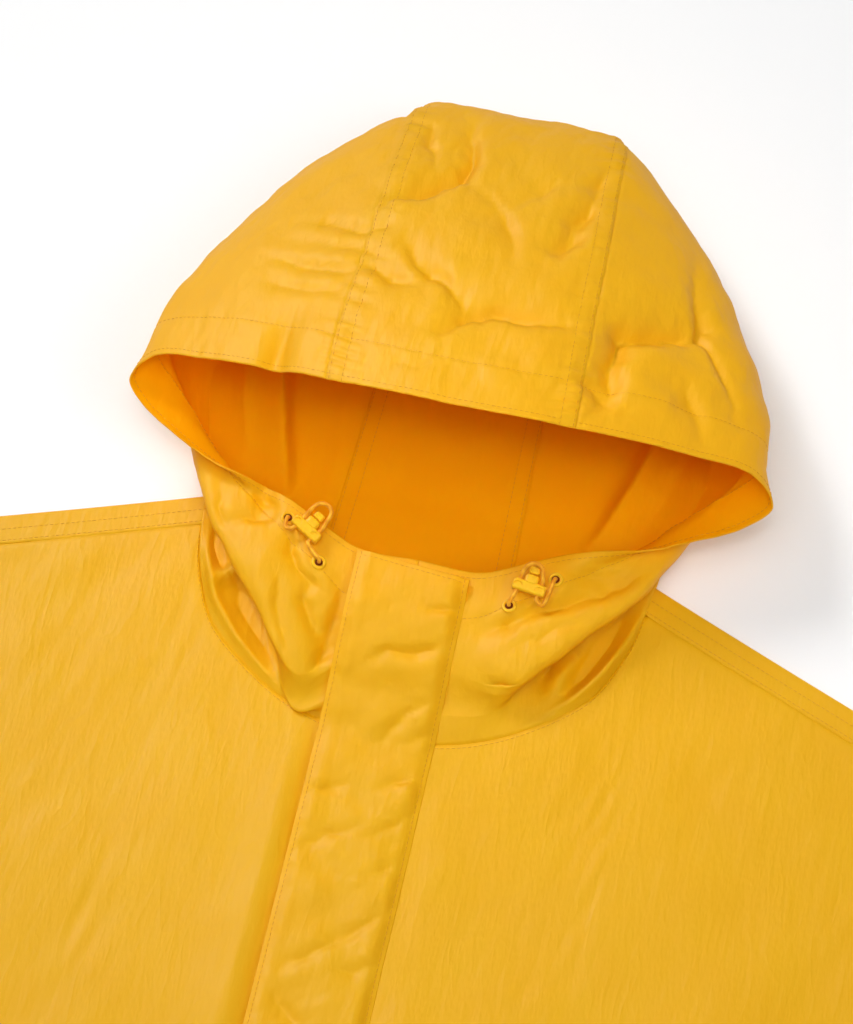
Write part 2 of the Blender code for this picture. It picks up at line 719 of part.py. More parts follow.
def main():
    clear_scene()
    nylon = material("nylon", YELLOW, 0.72)
    flap_nylon = material("flap_nylon", YELLOW, 0.72)
    trim = material("lock_plastic", TRIM, 0.45)
    cord = material("cord", TRIM, 0.6)
    grids, neck = build_hood(nylon)
    build_back(neck, nylon)
    build_front(neck, nylon)
    for name, sign in (("sleeve_left", 1), ("sleeve_right", -1)):
        build_sleeve(name, sign, nylon)
    build_flap(flap_nylon)
    tree = surface_tree([grids["hood_left"], grids["hood_right"]])
    for place in LOCKS:
        build_lock(place, tree, trim, cord)


main()
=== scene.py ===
"""Hooded anorak pullover of crinkled yellow nylon, laid flat on its back with the hood open.

The tables are in centimetres from the middle of the shoulder line at the neck: X to the
wearer's left, Y towards the hood's crown and Z up. place() turns them into metres in the
part's own frame.
"""
import math
from collections import namedtuple

import bmesh
import bpy
import numpy as np
from mathutils import Matrix, Vector
from mathutils.bvhtree import BVHTree


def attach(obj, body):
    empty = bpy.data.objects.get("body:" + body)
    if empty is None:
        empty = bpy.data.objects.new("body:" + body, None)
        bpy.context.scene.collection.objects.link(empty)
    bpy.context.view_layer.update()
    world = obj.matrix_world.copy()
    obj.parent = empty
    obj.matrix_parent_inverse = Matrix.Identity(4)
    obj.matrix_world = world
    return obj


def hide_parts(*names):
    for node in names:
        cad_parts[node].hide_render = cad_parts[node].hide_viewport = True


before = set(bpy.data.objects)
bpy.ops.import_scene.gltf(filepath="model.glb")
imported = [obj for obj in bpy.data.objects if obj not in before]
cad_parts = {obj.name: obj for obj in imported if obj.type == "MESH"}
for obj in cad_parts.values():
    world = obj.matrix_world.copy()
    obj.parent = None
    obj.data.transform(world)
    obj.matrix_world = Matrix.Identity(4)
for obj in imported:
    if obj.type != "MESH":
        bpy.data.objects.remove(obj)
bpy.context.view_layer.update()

# ----------------------------------------------------------
# Studio: a white paper sweep, with a softbox at the upper left, a wide one in front, a fill
# at the right and a narrow snoot over the neck. The camera looks down from below the hood
# and is turned, so that the garment leans left.
# ----------------------------------------------------------

CM = 0.01
CROWN_Y = 25.9
HEM_Y = -72.0
WALL = 0.12
Y_SHIFT = -(CROWN_Y + WALL / 2 + HEM_Y) / 2

CAMERA_ROLL = math.radians(12.6)
CAMERA_TILT = math.radians(25.0)
CAMERA_DISTANCE = 1.60
CAMERA_LENS = 98.4
CAMERA_TARGET = (-0.571, 1.906, 0.0)

Softbox = namedtuple("Softbox", "name right up height size watts spread gloss")
SOFTBOXES = [
    Softbox("key", -1.55, 1.75, 2.30, 0.8, 48.0, 180, True),
    Softbox("front", -0.20, -0.60, 2.20, 1.3, 17.5, 180, False),
    Softbox("floor_fill", 1.40, -0.90, 2.00, 1.2, 13.0, 180, False),
    Softbox("snoot", 0.00, -0.50, 1.50, 0.25, 0.12, 30, False),
]
FILL_STRENGTH = 0.24
LIGHT_BOUNCES = 6  # light reaches deep into the hood
FLOOR_HALF = 4.0
FLOOR_WHITE = "fdfdfd"


def place(points):
    """Centimetres from the shoulder line to metres in the part's frame."""
    return (np.asarray(points, float) + (0.0, Y_SHIFT, 0.0)) * CM


def srgb(code):
    """A linear colour from an sRGB hex value."""
    parts = [int(code[k:k + 2], 16) / 255 for k in (0, 2, 4)]
    linear = [p / 12.92 if p <= 0.04045 else ((p + 0.055) / 1.055) ** 2.4 for p in parts]
    return (*linear, 1.0)


def add_node(tree, kind, links=None, inputs=None, **settings):
    """A node with its settings, its values and the sockets that feed it."""
    made = tree.nodes.new(kind)
    for name, value in settings.items():
        setattr(made, name, value)
    for name, value in (inputs or {}).items():
        made.inputs[name].default_value = value
    for name, socket in (links or {}).items():
        tree.links.new(socket, made.inputs[name])
    return made


def new_material(name, **values):
    """A material with the values of its Principled shader."""
    made = bpy.data.materials.new(name)
    made.use_nodes = True
    shader = made.node_tree.nodes["Principled BSDF"]
    for socket, value in values.items():
        shader.inputs[socket.replace("_", " ")].default_value = value
    return made, made.node_tree, shader


def speckled_material(name, scale, detail, tones=None, relief=None, **values):
    """A material whose colour and surface both vary with one fine noise."""
    made, tree, shader = new_material(name, **values)
    where = add_node(tree, "ShaderNodeTexCoord")
    speckle = add_node(tree, "ShaderNodeTexNoise", {"Vector": where.outputs["Object"]},
                       {"Scale": scale, "Detail": detail})
    if tones:
        tone = add_node(tree, "ShaderNodeMix", {"Factor": speckle.outputs["Fac"]},
                        {"A": srgb(tones[0]), "B": srgb(tones[1])}, data_type="RGBA")
        tree.links.new(tone.outputs["Result"], shader.inputs["Base Color"])
    if relief:
        strength, distance = relief
        surface = add_node(tree, "ShaderNodeBump", {"Height": speckle.outputs["Fac"]},
                           {"Strength": strength, "Distance": distance})
        tree.links.new(surface.outputs["Normal"], shader.inputs["Normal"])
    return made


def add_object(name, data):
    """An object in the scene, at the origin."""
    made = bpy.data.objects.new(name, data)
    bpy.context.scene.collection.objects.link(made)
    return made


roll_right = Vector((math.cos(CAMERA_ROLL), math.sin(CAMERA_ROLL), 0.0))
roll_up = Vector((-math.sin(CAMERA_ROLL), math.cos(CAMERA_ROLL), 0.0))
sight = roll_up * math.sin(CAMERA_TILT) - Vector((0, 0, math.cos(CAMERA_TILT)))
camera_up = roll_up * math.cos(CAMERA_TILT) + Vector((0, 0, math.sin(CAMERA_TILT)))
target = Vector(place(CAMERA_TARGET))

camera_data = bpy.data.cameras.new("camera")
camera_data.lens = CAMERA_LENS
camera = add_object("camera", camera_data)
camera_pose = Matrix((roll_right, camera_up, -sight)).transposed().to_4x4()
camera_pose.translation = target - sight * CAMERA_DISTANCE
camera.matrix_world = camera_pose
bpy.context.scene.camera = camera
bpy.context.scene.view_settings.view_transform = "Standard"
bpy.context.scene.cycles.diffuse_bounces = LIGHT_BOUNCES

for box in SOFTBOXES:
    light = bpy.data.lights.new(box.name, "AREA")
    light.energy = box.watts
    light.size = box.size
    light.spread = math.radians(box.spread)
    lamp = add_object(box.name, light)
    lamp.location = target + roll_right * box.right + roll_up * box.up
    lamp.location.z = box.height
    lamp.rotation_euler = (target - lamp.location).to_track_quat("-Z", "Y").to_euler()
    lamp.visible_glossy = box.gloss

world = bpy.data.worlds.new("studio")
world.use_nodes = True
world.node_tree.nodes["Background"].inputs["Color"].default_value = srgb("ffffff")
world.node_tree.nodes["Background"].inputs["Strength"].default_value = FILL_STRENGTH
bpy.context.scene.world = world
world.cycles_visibility.glossy = False  # only the key light shines on the nylon

paper = speckled_material("paper_sweep", 900.0, 3.0, relief=(0.1, 0.0002), Roughness=0.9,
                          Base_Color=srgb(FLOOR_WHITE))
floor_bm = bmesh.new()
bmesh.ops.create_grid(floor_bm, x_segments=1, y_segments=1, size=FLOOR_HALF)
floor_mesh = bpy.data.meshes.new("floor")
floor_bm.to_mesh(floor_mesh)
floor_bm.free()
floor_mesh.materials.append(paper)
floor = add_object("floor", floor_mesh)

# ----------------------------------------------------------
# Hood: three panels of plain-woven nylon, felled together with two rows of stitches and
# hemmed round the face. It stands open, its front folded over the neck seam at each side.
# ----------------------------------------------------------

REST_Z = WALL / 2
SEAM_INSET = 0.008  # the felled panels all but touch
NECK_GAP = -0.03
NECK_HALF = 13.05
NECK_DROP = 12.35
BACK_NECK_DROP = 2.0
BACK_NECK_RISE = 0.32
SHOULDER_HALF = 28.5
SHOULDER_Y = -(SHOULDER_HALF - NECK_HALF) * 0.37
CHEST_HALF = 31.0
UNDERARM_Y = -31.0
HEM_HALF = 30.0
SIDE_WAIST = 0.4
FRONT_REST = 0.21
FRONT_PUFF = 0.06
NECK_LIFT = 0.28
LEAN = 0.09
BRIM_DRIFT = 0.65
BACK_DRIFT = -0.35
DRIFT_REACH = 9.0
PANEL_SEAM = "panel seam"

Section = namedtuple("Section", "name mouth band outer under neck hang pocket")
SECTIONS = [
    Section("front edge", (0.3, -2.5, 3.1), (0.3, -5.2, 2.9), (0.3, -8.2, 2.1), (0.3, -10.4, 1.2),
            (0.3, -12.3), 0.0, 0.0),
    Section("flap edge", (3.4, -2.5, 3.1), (3.4, -5.2, 2.9), (3.4, -8.2, 2.1), (3.4, -10.4, 1.2),
            (3.3, -12.0), 0.0, 0.0),
    Section("eyelets", (5.9, -1.5, 3.3), (6.1, -3.6, 3.4), (6.4, -8.7, 2.4), (6.0, -9.4, 1.1),
            (6.2, -11.0), 1.0, 0.5),
    Section("front fold", (7.8, -0.6, 3.5), (7.9, -2.4, 3.6), (8.4, -6.7, 2.7), (7.5, -6.1, 1.0),
            (8.9, -9.3), 1.0, 1.0),
    Section("lip", (9.9, -0.1, 4.0), (9.6, -1.1, 3.4), (10.4, -4.4, 2.8), (9.3, -4.1, 1.0),
            (11.0, -7.3), 1.0, 1.0),
    Section("lip side", (12.4, 0.4, 4.2), (11.5, 0.3, 3.3), (12.2, -2.2, 2.8), (11.2, -2.1, 0.9),
            (12.4, -4.2), 1.0, 1.0),
    Section("neck point", (15.2, 1.4, 4.9), (13.9, 2.7, 3.8), (14.0, 1.2, 2.6), (12.6, 1.0, 0.9),
            (12.9, -1.5), 1.0, 0.7),
    Section("shoulder", (17.3, 2.5, 5.2), (15.9, 4.4, 4.5), (15.6, 4.4, 2.8), (13.7, 2.9, 0.3),
            (12.98, -0.15), 1.0, 0.2),
    Section("corner", (18.5, 3.6, 6.0), (17.4, 5.7, 5.6), (17.3, 7.4, 4.0), (14.6, 6.2, REST_Z),
            (12.3, None), 1.0, 0.0),
    Section("temple", (16.9, 4.5, 7.7), (17.2, 6.9, 7.2), (17.3, 9.4, 4.8), (14.4, 8.6, REST_Z),
            (10.9, None), 1.0, 0.0),
    Section("side", (13.5, 4.1, 9.3), (13.9, 6.8, 9.1), (15.5, 13.2, 5.0), (12.4, 11.6, REST_Z),
            (8.9, None), 1.0, 0.0),
    Section("upper side", (9.9, 3.6, 10.7), (10.0, 6.4, 10.6), (12.2, 18.9, 5.0), (9.4, 15.8, REST_Z),
            (7.0, None), 1.0, 0.0),
    Section(PANEL_SEAM, (6.9, 3.2, 11.6), (6.9, 6.0, 11.5), (6.4, 25.0, 5.0), (4.7, 21.0, REST_Z),
            (5.4, None), 1.0, 0.0),
    Section("brim", (3.4, 2.8, 12.4), (3.4, 5.6, 12.2), (3.2, 25.8, 5.0), (2.4, 21.7, REST_Z),
            (2.7, None), 1.0, 0.0),
    Section("brim middle", (0.0, 2.7, 12.5), (0.0, 5.5, 12.3), (0.0, CROWN_Y, 5.0),
            (0.0, 21.8, REST_Z), (0.0, None), 1.0, 0.0),
]
FINENESS = 12  # steps here for each step of the part's cloth
STEPS = {"band": 2 * FINENESS, "outer": 7 * FINENESS, "under": 4 * FINENESS, "neck": 5 * FINENESS}
BAND_END = STEPS["band"]
OUTER_END = BAND_END + STEPS["outer"]
UNDER_END = OUTER_END + STEPS["under"]
NYLON_WALL = 0.10  # two turnings at the hems, drawn all over
WEAVE_WAVE = 0.0007  # so the faint weave repeats every 4.4 mm
WAVE_RADIANS = 20  # the wave texture turns this far in a unit

CREASE_SOFTNESS = 0.07
Crease = namedtuple("Crease", "left right points")


def creases(*rows):
    """Creases from rows of the widths of the left and right slopes, seen along the crease,
    and its points (x, y, depth). The depth is below zero for a trough."""
    return [Crease(left, right, points) for left, right, *points in rows]


# On the upper layer
UPPER_CREASES = creases(
    (0.35, 1.3, (-2.9, 23.9, -0.1), (-2.2, 22.0, -0.45), (-1.9, 20.2, -0.8), (-2.2, 18.9, -0.9),
     (-4.1, 17.1, -0.75), (-5.7, 16.2, -0.3), (-6.1, 15.0, -0.05)),
    (0.35, 0.6, (-4.9, 22.9, -0.15), (-4.6, 21.2, -0.35), (-3.9, 19.6, -0.1)),
    (0.3, 1.2, (-2.0, 18.6, -0.1), (0.0, 17.2, -0.22), (1.3, 15.4, -0.34), (2.0, 12.6, -0.08)),
    (0.4, 0.9, (3.6, 20.2, -0.04), (2.4, 18.7, -0.26), (0.6, 16.6, -0.08)),
    (0.9, 0.35, (-4.4, 13.4, -0.1), (-3.4, 11.8, -0.42), (-2.0, 11.0, -0.6), (-0.3, 9.6, -0.3),
     (0.4, 8.9, -0.05)),
    (0.9, 0.4, (-6.3, 11.2, -0.2), (-5.4, 10.9, -0.42), (-4.4, 10.2, -0.46), (-3.2, 10.3, -0.12)),
    (1.0, 0.4, (-1.0, 7.0, -0.2), (0.1, 8.4, -0.7), (1.6, 9.2, -0.85), (3.6, 9.2, -0.7), (5.6, 9.5, -0.35),
     (6.5, 9.9, -0.1)),
    (0.5, 1.3, (13.6, 13.6, -0.1), (12.8, 11.8, -0.6), (11.0, 11.0, -0.95), (9.0, 10.1, -1.1),
     (8.6, 7.6, -0.85), (8.9, 5.6, -0.45), (8.3, 4.6, -0.1)),
    (0.6, 0.3, (11.6, 18.2, -0.06), (12.0, 15.0, -0.3), (13.0, 12.2, -0.4), (14.6, 9.6, -0.3),
     (15.6, 7.4, -0.08)),
    (0.3, 0.9, (5.7, 21.8, -0.08), (5.4, 19.2, -0.24), (5.0, 17.0, -0.36), (4.5, 14.6, -0.34),
     (4.2, 13.6, -0.06)),
    (0.3, 0.7, (5.7, 20.6, -0.2), (4.9, 20.0, -0.16), (4.0, 19.7, -0.03)),
    (0.3, 0.8, (5.4, 18.0, -0.2), (4.4, 17.0, -0.18), (3.4, 16.8, -0.03)),
    (0.3, 0.6, (5.1, 15.6, -0.22), (4.0, 14.6, -0.16), (3.1, 14.5, -0.03)),
    (0.6, 0.35, (-5.8, 13.9, -0.25), (-7.3, 13.7, -0.4), (-8.8, 14.2, -0.36), (-10.8, 13.9, -0.1)),
    (0.5, 0.4, (-6.2, 12.4, -0.2), (-8.0, 12.2, -0.26), (-9.8, 12.6, -0.05)),
    (0.6, 0.4, (-6.9, 10.6, -0.25), (-8.4, 10.6, -0.4), (-10.3, 10.9, -0.3), (-12.2, 11.4, -0.05)),
    (0.5, 0.4, (-7.3, 9.0, -0.2), (-9.0, 9.0, -0.3), (-11.2, 9.4, -0.08)),
    (0.9, 1.3, (-8.0, 19.4, -0.03), (-10.2, 16.8, -0.18), (-12.4, 14.6, -0.02)),
    (0.5, 0.8, (12.0, 9.0, -0.05), (13.2, 7.2, -0.34), (14.2, 5.2, -0.1)),
    (0.4, 0.7, (7.4, 6.2, -0.2), (8.4, 5.4, -0.25), (9.2, 5.0, -0.05)),
)


def cubic(t, start, start_pull, end, end_pull):
    """Cubic with the given pulls at its ends, t going from 0 to 1."""
    a = 2 * t ** 3 - 3 * t ** 2 + 1
    b = t ** 3 - 2 * t ** 2 + t
    c = -2 * t ** 3 + 3 * t ** 2
    d = t ** 3 - t ** 2
    return a * start + b * start_pull + c * end + d * end_pull


def hermite(start, start_pull, end, end_pull, count):
    """Points after start up to end of a cubic with the given pulls at its ends."""
    return cubic((np.arange(1, count + 1) / count)[:, None], start, start_pull, end, end_pull)


def unit(vectors):
    length = np.linalg.norm(vectors, axis=-1, keepdims=True)
    return vectors / np.maximum(length, 1e-9)


def side_half(y):
    """Half the body's width at a height: armhole, then side seam."""
    arm = (SHOULDER_Y - y) / (SHOULDER_Y - UNDERARM_Y)
    low = (UNDERARM_Y - y) / (UNDERARM_Y - HEM_Y)
    armhole = SHOULDER_HALF + (CHEST_HALF - SHOULDER_HALF) * arm
    side = CHEST_HALF + (HEM_HALF - CHEST_HALF) * low - SIDE_WAIST * np.sin(math.pi * np.clip(low, 0, 1))
    return np.where(y > UNDERARM_Y, armhole, side)


def front_height(x, y):
    """Middle of the front panel above the surface."""
    ring = np.hypot(x / NECK_HALF, np.minimum(y, 0.0) / NECK_DROP)
    neck = NECK_LIFT * np.exp(-2.2 * np.maximum(ring - 1.0, 0.0))
    across = np.maximum(1.0 - (x / side_half(y)) ** 4, 0.0)
    return FRONT_REST + FRONT_PUFF * across * np.minimum((y - HEM_Y) / 6.0, 1.0) + neck


def back_neck_y(x):
    return -BACK_NECK_DROP + (BACK_NECK_DROP - BACK_NECK_RISE) * (x / NECK_HALF) ** 2


def section_line(row):
    """Points of one section of the hood, from the mouth's edge to the neck seam."""
    mouth, band, outer, under = (np.array(point) for point in row[1:5])
    x, y = row.neck
    if y is None:
        neck = np.array((x, back_neck_y(x), REST_Z))
    else:
        height = float(front_height(x, y))
        neck = np.array((x, y, (height + REST_Z) / 2 if row.name == "shoulder" else height))
    down = np.array((0.0, 0.0, -1.0))
    drop = 1.5 * (outer[2] - under[2])
    sweep = np.linalg.norm(outer - band)
    at_band = unit(outer - mouth + np.array((0, 0, 0.25 * sweep))) * sweep * 0.9
    flat = (neck - under) * (1, 1, 0)
    turn = row.hang * down * drop + (1 - row.hang) * unit(under - band) * np.linalg.norm(outer - under)
    at_under = (1 - row.pocket) * unit(flat) * 1.5 * np.linalg.norm((outer - under)[:2])
    at_under = at_under + row.pocket * down * drop * 0.6
    leave = (1 - row.pocket) * (neck - under) + row.pocket * down * np.linalg.norm(neck - under) * 0.5
    arrive = (neck - under) * (1 - 0.3 * row.pocket)
    band_pull = at_band * min(1.0, np.linalg.norm(band - mouth) / sweep)
    return np.vstack([
        mouth[None],
        hermite(mouth, band - mouth, band, band_pull, STEPS["band"]),
        hermite(band, at_band, outer, turn, STEPS["outer"]),
        hermite(outer, turn, under, at_under, STEPS["under"]),
        hermite(under, leave, neck, arrive, STEPS["neck"]),
    ])


def hood_sections():
    """Every section from the right front edge over the brim to the left one, and its
    place along the mouth's edge, measured from the middle of the brim."""
    left = [section_line(row) for row in SECTIONS]
    right = []
    for line in left[:-1]:
        other = line * (-1.0, 1.0, 1.0)
        other[:, 0] += LEAN * np.maximum(line[:, 0] - NECK_HALF, 0.0)
        right.append(other)
    lines = np.array(right + left[::-1])
    step = np.arange(lines.shape[1])
    before = BRIM_DRIFT * (1 - step / OUTER_END)
    after = BACK_DRIFT * (step - OUTER_END) / (len(step) - 1 - OUTER_END)
    drift = np.where(step < OUTER_END, before, after)
    high = lines[:, OUTER_END, 1] > 5.0
    lines[high, :, 0] += drift * np.exp(-(lines[high, :, 0] / DRIFT_REACH) ** 4)
    gaps = np.linalg.norm(np.diff(lines[:, 0], axis=0), axis=1)
    places = np.concatenate([[0.0], np.cumsum(gaps)])
    return places - places[-1] / 2, lines


def smooth_between(places, values, at):
    """Cubic through values at increasing places, with slopes from the neighbours."""
    at = np.atleast_1d(at)
    spread = (1,) * (values.ndim - 1)
    k = np.clip(np.searchsorted(places, at) - 1, 0, len(places) - 2)
    low = np.maximum(np.arange(len(places)) - 1, 0)
    high = np.minimum(np.arange(len(places)) + 1, len(places) - 1)
    slopes = (values[high] - values[low]) / (places[high] - places[low]).reshape(-1, *spread)
    width = (places[k + 1] - places[k]).reshape(-1, *spread)
    t = (at - places[k]).reshape(-1, *spread) / width
    return cubic(t, values[k], slopes[k] * width, values[k + 1], slopes[k + 1] * width)


def crease_depth(x, y, creases, narrow=1.0):
    """Height that a table of creases adds at points of the plan."""
    total = np.zeros_like(x)
    for crease in creases:
        nearest = np.full(x.shape, 1e9)
        added = np.zeros_like(x)
        for (x0, y0, d0), (x1, y1, d1) in zip(crease.points, crease.points[1:]):
            along_x, along_y = x1 - x0, y1 - y0
            t = ((x - x0) * along_x + (y - y0) * along_y) / (along_x ** 2 + along_y ** 2)
            t = np.clip(t, 0.0, 1.0)
            off_x = x - x0 - t * along_x
            off_y = y - y0 - t * along_y
            gap = np.hypot(off_x, off_y)
            width = np.where(along_x * off_y - along_y * off_x > 0, crease.left, crease.right)
            fall = np.hypot(gap, CREASE_SOFTNESS) - CREASE_SOFTNESS
            value = (d0 + (d1 - d0) * t) * np.exp(-(fall / (width * narrow)) ** 1.15)
            added = np.where(gap < nearest, value, added)
            nearest = np.minimum(gap, nearest)
        total += added
    return total


RIPPLE_WAVES = 60


def ripple(points, seed, shortest, longest, grain=(0.25, 0.97), stretch=1.0):
    """Soft unevenness of about unit height, from waves between two lengths in
    centimetres, drawn out along the cloth's grain by stretch."""
    draw = np.random.default_rng(seed)
    grain = np.array((*grain, 0.0))
    cross = np.array((grain[1], -grain[0], 0.0))
    total = np.zeros(points.shape[:-1])
    power = 0.0
    for _ in range(RIPPLE_WAVES):
        length = math.exp(draw.uniform(math.log(shortest), math.log(longest)))
        turn = draw.uniform(0, 2 * math.pi)
        rise = draw.uniform(-0.8, 0.8)
        wave = cross * math.cos(turn) + grain * math.sin(turn) / stretch + np.array((0, 0, rise))
        size = length ** 0.6
        total += size * np.sin(points @ wave * 2 * math.pi / length + draw.uniform(0, 2 * math.pi))
        power += size ** 2 / 2
    return total / math.sqrt(power)


def crumple(points, seed, shortest, longest, **how):
    """Soft facets with narrow valleys between them, between 0 and about -1."""
    first = np.abs(ripple(points, seed, shortest, longest, **how))
    second = np.abs(ripple(points, seed + 1, shortest, longest, **how))
    return -np.exp(-2.2 * first) * 0.6 - np.exp(-2.2 * second) * 0.4


def normals(points):
    """Unit normals of a grid of points."""
    along = np.gradient(points, axis=0)
    down = np.gradient(points, axis=1)
    return unit(np.cross(down, along))


def lengths(points, axis):
    """Distance along the grid's lines from their first point, along one axis."""
    steps = np.linalg.norm(np.diff(points, axis=axis), axis=-1)
    zero = np.zeros_like(np.take(steps, [0], axis=axis))
    return np.concatenate([zero, np.cumsum(steps, axis=axis)], axis=axis)


def grid_mesh(bm, points):
    """A grid whose points are moved to the given ones."""
    columns, rows = points.shape[:2]
    made = bmesh.ops.create_grid(bm, x_segments=columns - 1, y_segments=rows - 1, size=1.0)
    placed = place(points)
    for vert in made["verts"]:
        i = round((vert.co.x + 1) / 2 * (columns - 1))
        j = round((vert.co.y + 1) / 2 * (rows - 1))
        vert.co = placed[i, j]
    return made["verts"]


def riding_piece(name, data, *materials):
    """A piece that rides on the garment."""
    for material in materials:
        data.materials.append(material)
    made = add_object(name, data)
    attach(made, "root")
    return made


def stand_for(node):
    """Puts a piece in place of its solid, which it hides."""
    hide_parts(node)


def finish_mesh(name, bm, *materials):
    """A piece from a finished bmesh."""
    mesh = bpy.data.meshes.new(name)
    bm.to_mesh(mesh)
    bm.free()
    mesh.shade_smooth()
    return riding_piece(name, mesh, *materials)


def cloth_piece(name, grids, wall=NYLON_WALL, slit=None):
    """A shell of cloth along grids of points, which are joined where they meet. Its outer
    face is the one that looks up where it is highest."""
    bm = bmesh.new()
    for points in grids:
        grid_mesh(bm, points)
    if slit:
        open_faces = [face for face in bm.faces if slit(face.calc_center_median())]
        bmesh.ops.delete(bm, geom=open_faces, context="FACES")
    bmesh.ops.remove_doubles(bm, verts=bm.verts[:], dist=0.00002)
    bmesh.ops.recalc_face_normals(bm, faces=bm.faces[:])
    top = max(bm.faces, key=lambda face: face.calc_center_median().z)
    if top.normal.z < 0:
        bmesh.ops.reverse_faces(bm, faces=bm.faces[:])
    made = finish_mesh(name, bm, nylon, nylon_inside_painted_light)
    shell = made.modifiers.new("wall", "SOLIDIFY")
    shell.thickness = wall * CM
    shell.offset = 0.0
    # The inner face takes the second material, with its painted light.
    shell.material_offset = 1
    rims = made.modifiers.new("crisp_rims", "WEIGHTED_NORMAL")
    rims.weight = 100
    return made


def declare_sheet(node):
    """Puts a panel in place of its solid, which it hides."""
    stand_for(node)


def nylon_material(name, face, shade, glow, through_share, gloss):
    """Plain-woven nylon taffeta, dyed and washed: matt with a soft sheen, finely crinkled
    along its length. Its threads are too fine to show; a faint, much coarser weave is drawn."""
    made, tree, shader = new_material(name, Roughness=0.56, IOR=1.53, Specular_IOR_Level=gloss)
    where = add_node(tree, "ShaderNodeTexCoord")
    patches = add_node(tree, "ShaderNodeTexNoise", {"Vector": where.outputs["Object"]},
                       {"Scale": 22.0, "Detail": 1.0, "Roughness": 0.6})
    tone = add_node(tree, "ShaderNodeMix", {"Factor": patches.outputs["Fac"]},
                    {"A": srgb(shade), "B": srgb(face)}, data_type="RGBA")
    tree.links.new(tone.outputs["Result"], shader.inputs["Base Color"])
    grain = add_node(tree, "ShaderNodeMapping", {"Vector": where.outputs["Object"]},
                     {"Rotation": (0, 0, math.radians(14)), "Scale": (1.0, 0.3, 1.0)})
    crinkle = add_node(tree, "ShaderNodeTexNoise", {"Vector": grain.outputs["Vector"]},
                       {"Scale": 240.0, "Detail": 2.0, "Roughness": 0.62})
    wrinkle = add_node(tree, "ShaderNodeTexNoise", {"Vector": grain.outputs["Vector"]},
                       {"Scale": 95.0, "Detail": 2.0, "Roughness": 0.5, "Lacunarity": 2.0, "Gain": 1.2,
                        "Offset": 0.9, "Distortion": 0.6}, noise_type="RIDGED_MULTIFRACTAL")
    where_wrinkled = add_node(tree, "ShaderNodeMath", {0: wrinkle.outputs["Fac"],
                              1: patches.outputs["Fac"]}, operation="MULTIPLY")
    wrinkle_bump = add_node(tree, "ShaderNodeBump", {"Height": where_wrinkled.outputs["Value"]},
                            {"Strength": 0.38, "Distance": 0.0009})
    crinkle_bump = add_node(tree, "ShaderNodeBump",
                            {"Height": crinkle.outputs["Fac"], "Normal": wrinkle_bump.outputs["Normal"]},
                            {"Strength": 0.7, "Distance": 0.0007})
    warp, weft = [
        add_node(tree, "ShaderNodeTexWave", {"Vector": where.outputs["Object"]},
                 {"Scale": 1 / WEAVE_WAVE / WAVE_RADIANS}, bands_direction=direction)
        for direction in ("X", "Y")]
    weave = add_node(tree, "ShaderNodeMath", {0: warp.outputs["Fac"], 1: weft.outputs["Fac"]},
                     operation="MULTIPLY")
    weave_bump = add_node(tree, "ShaderNodeBump",
                          {"Height": weave.outputs["Value"], "Normal": crinkle_bump.outputs["Normal"]},
                          {"Strength": 0.12, "Distance": 0.0001})
    tree.links.new(weave_bump.outputs["Normal"], shader.inputs["Normal"])
    through = add_node(tree, "ShaderNodeBsdfTranslucent", inputs={"Color": srgb(glow)})
    both = add_node(tree, "ShaderNodeMixShader", inputs={"Fac": through_share})
    tree.links.new(shader.outputs["BSDF"], both.inputs[1])
    tree.links.new(through.outputs["BSDF"], both.inputs[2])
    tree.links.new(both.outputs["Shader"], tree.nodes["Material Output"].inputs["Surface"])
    return made


nylon = nylon_material("nylon_taffeta", "ffcb06", "fdc402", "ffc414", 0.28, 0.7)
# The inner face's copy glows a deeper orange and lets more light through than the outer one: painted light
# that makes the hood's hollow a brighter, deeper orange.
nylon_inside_painted_light = nylon_material("nylon_taffeta_inside_painted_light", "ffcc06", "ffc404", "ffb40a", 0.45, 0.15)

places, sections = hood_sections()
seam_place = -places[[row.name for row in SECTIONS].index(PANEL_SEAM)]
front_place = places[-1]


def ramp(value, low, high):
    """0 below low, 1 above high, smooth between."""
    t = np.clip((value - low) / (high - low), 0.0, 1.0)
    return t * t * (3 - 2 * t)


def pucker(along, off, seed, reach=0.7, wave=0.9):
    """Short gathers across a row of stitches, in a strip on both sides of it."""
    draw = np.random.default_rng(seed)
    total = np.zeros_like(along)
    for _ in range(5):
        length = wave * draw.uniform(0.6, 1.9)
        total += np.sin(2 * math.pi * along / length + draw.uniform(0, 6.3) + 0.8 * off)
    return total / 2.2 * np.exp(-(off / reach) ** 2)


FELL_WIDTH = 1.05
FELL_RISE = 0.035
FELL_EDGE = 0.12
FELL_ROWS = (0.16, FELL_WIDTH - FELL_EDGE)  # its two rows of stitches, from the seam
GROOVE = 0.028
GROOVE_REACH = 0.09


def groove(off):
    """A line of stitches draws the cloth in."""
    return -GROOVE * np.exp(-(off / GROOVE_REACH) ** 2)


FRONT_CLOSING = 0.28  # the front edges meet behind the flap
SAG = 1.6  # the right side's fold hangs lower here
SAG_X = -4.9
SAG_REACH = 1.5
SAG_SINK = 0.12  # how much of the sag goes down
FRONT_SPAN = 3.5  # of the face's edge, beside the opening
RIM_DIP = 0.9  # the rim curls down beside the right lock
RIM_DIP_X = -9.4
RIM_DIP_REACH = 0.8
RIM_PULL = 0.3  # how much of the dip goes into the hood
SIDE_COLUMNS = 150
CENTRE_COLUMNS = 90
stops = np.concatenate([np.linspace(-front_place, -seam_place, SIDE_COLUMNS),
                        np.linspace(-seam_place, seam_place, CENTRE_COLUMNS)[1:-1],
                        np.linspace(seam_place, front_place, SIDE_COLUMNS)])
RIGHT_SEAM = SIDE_COLUMNS - 1
LEFT_SEAM = RIGHT_SEAM + CENTRE_COLUMNS - 1
hood_base = smooth_between(places, sections, stops)
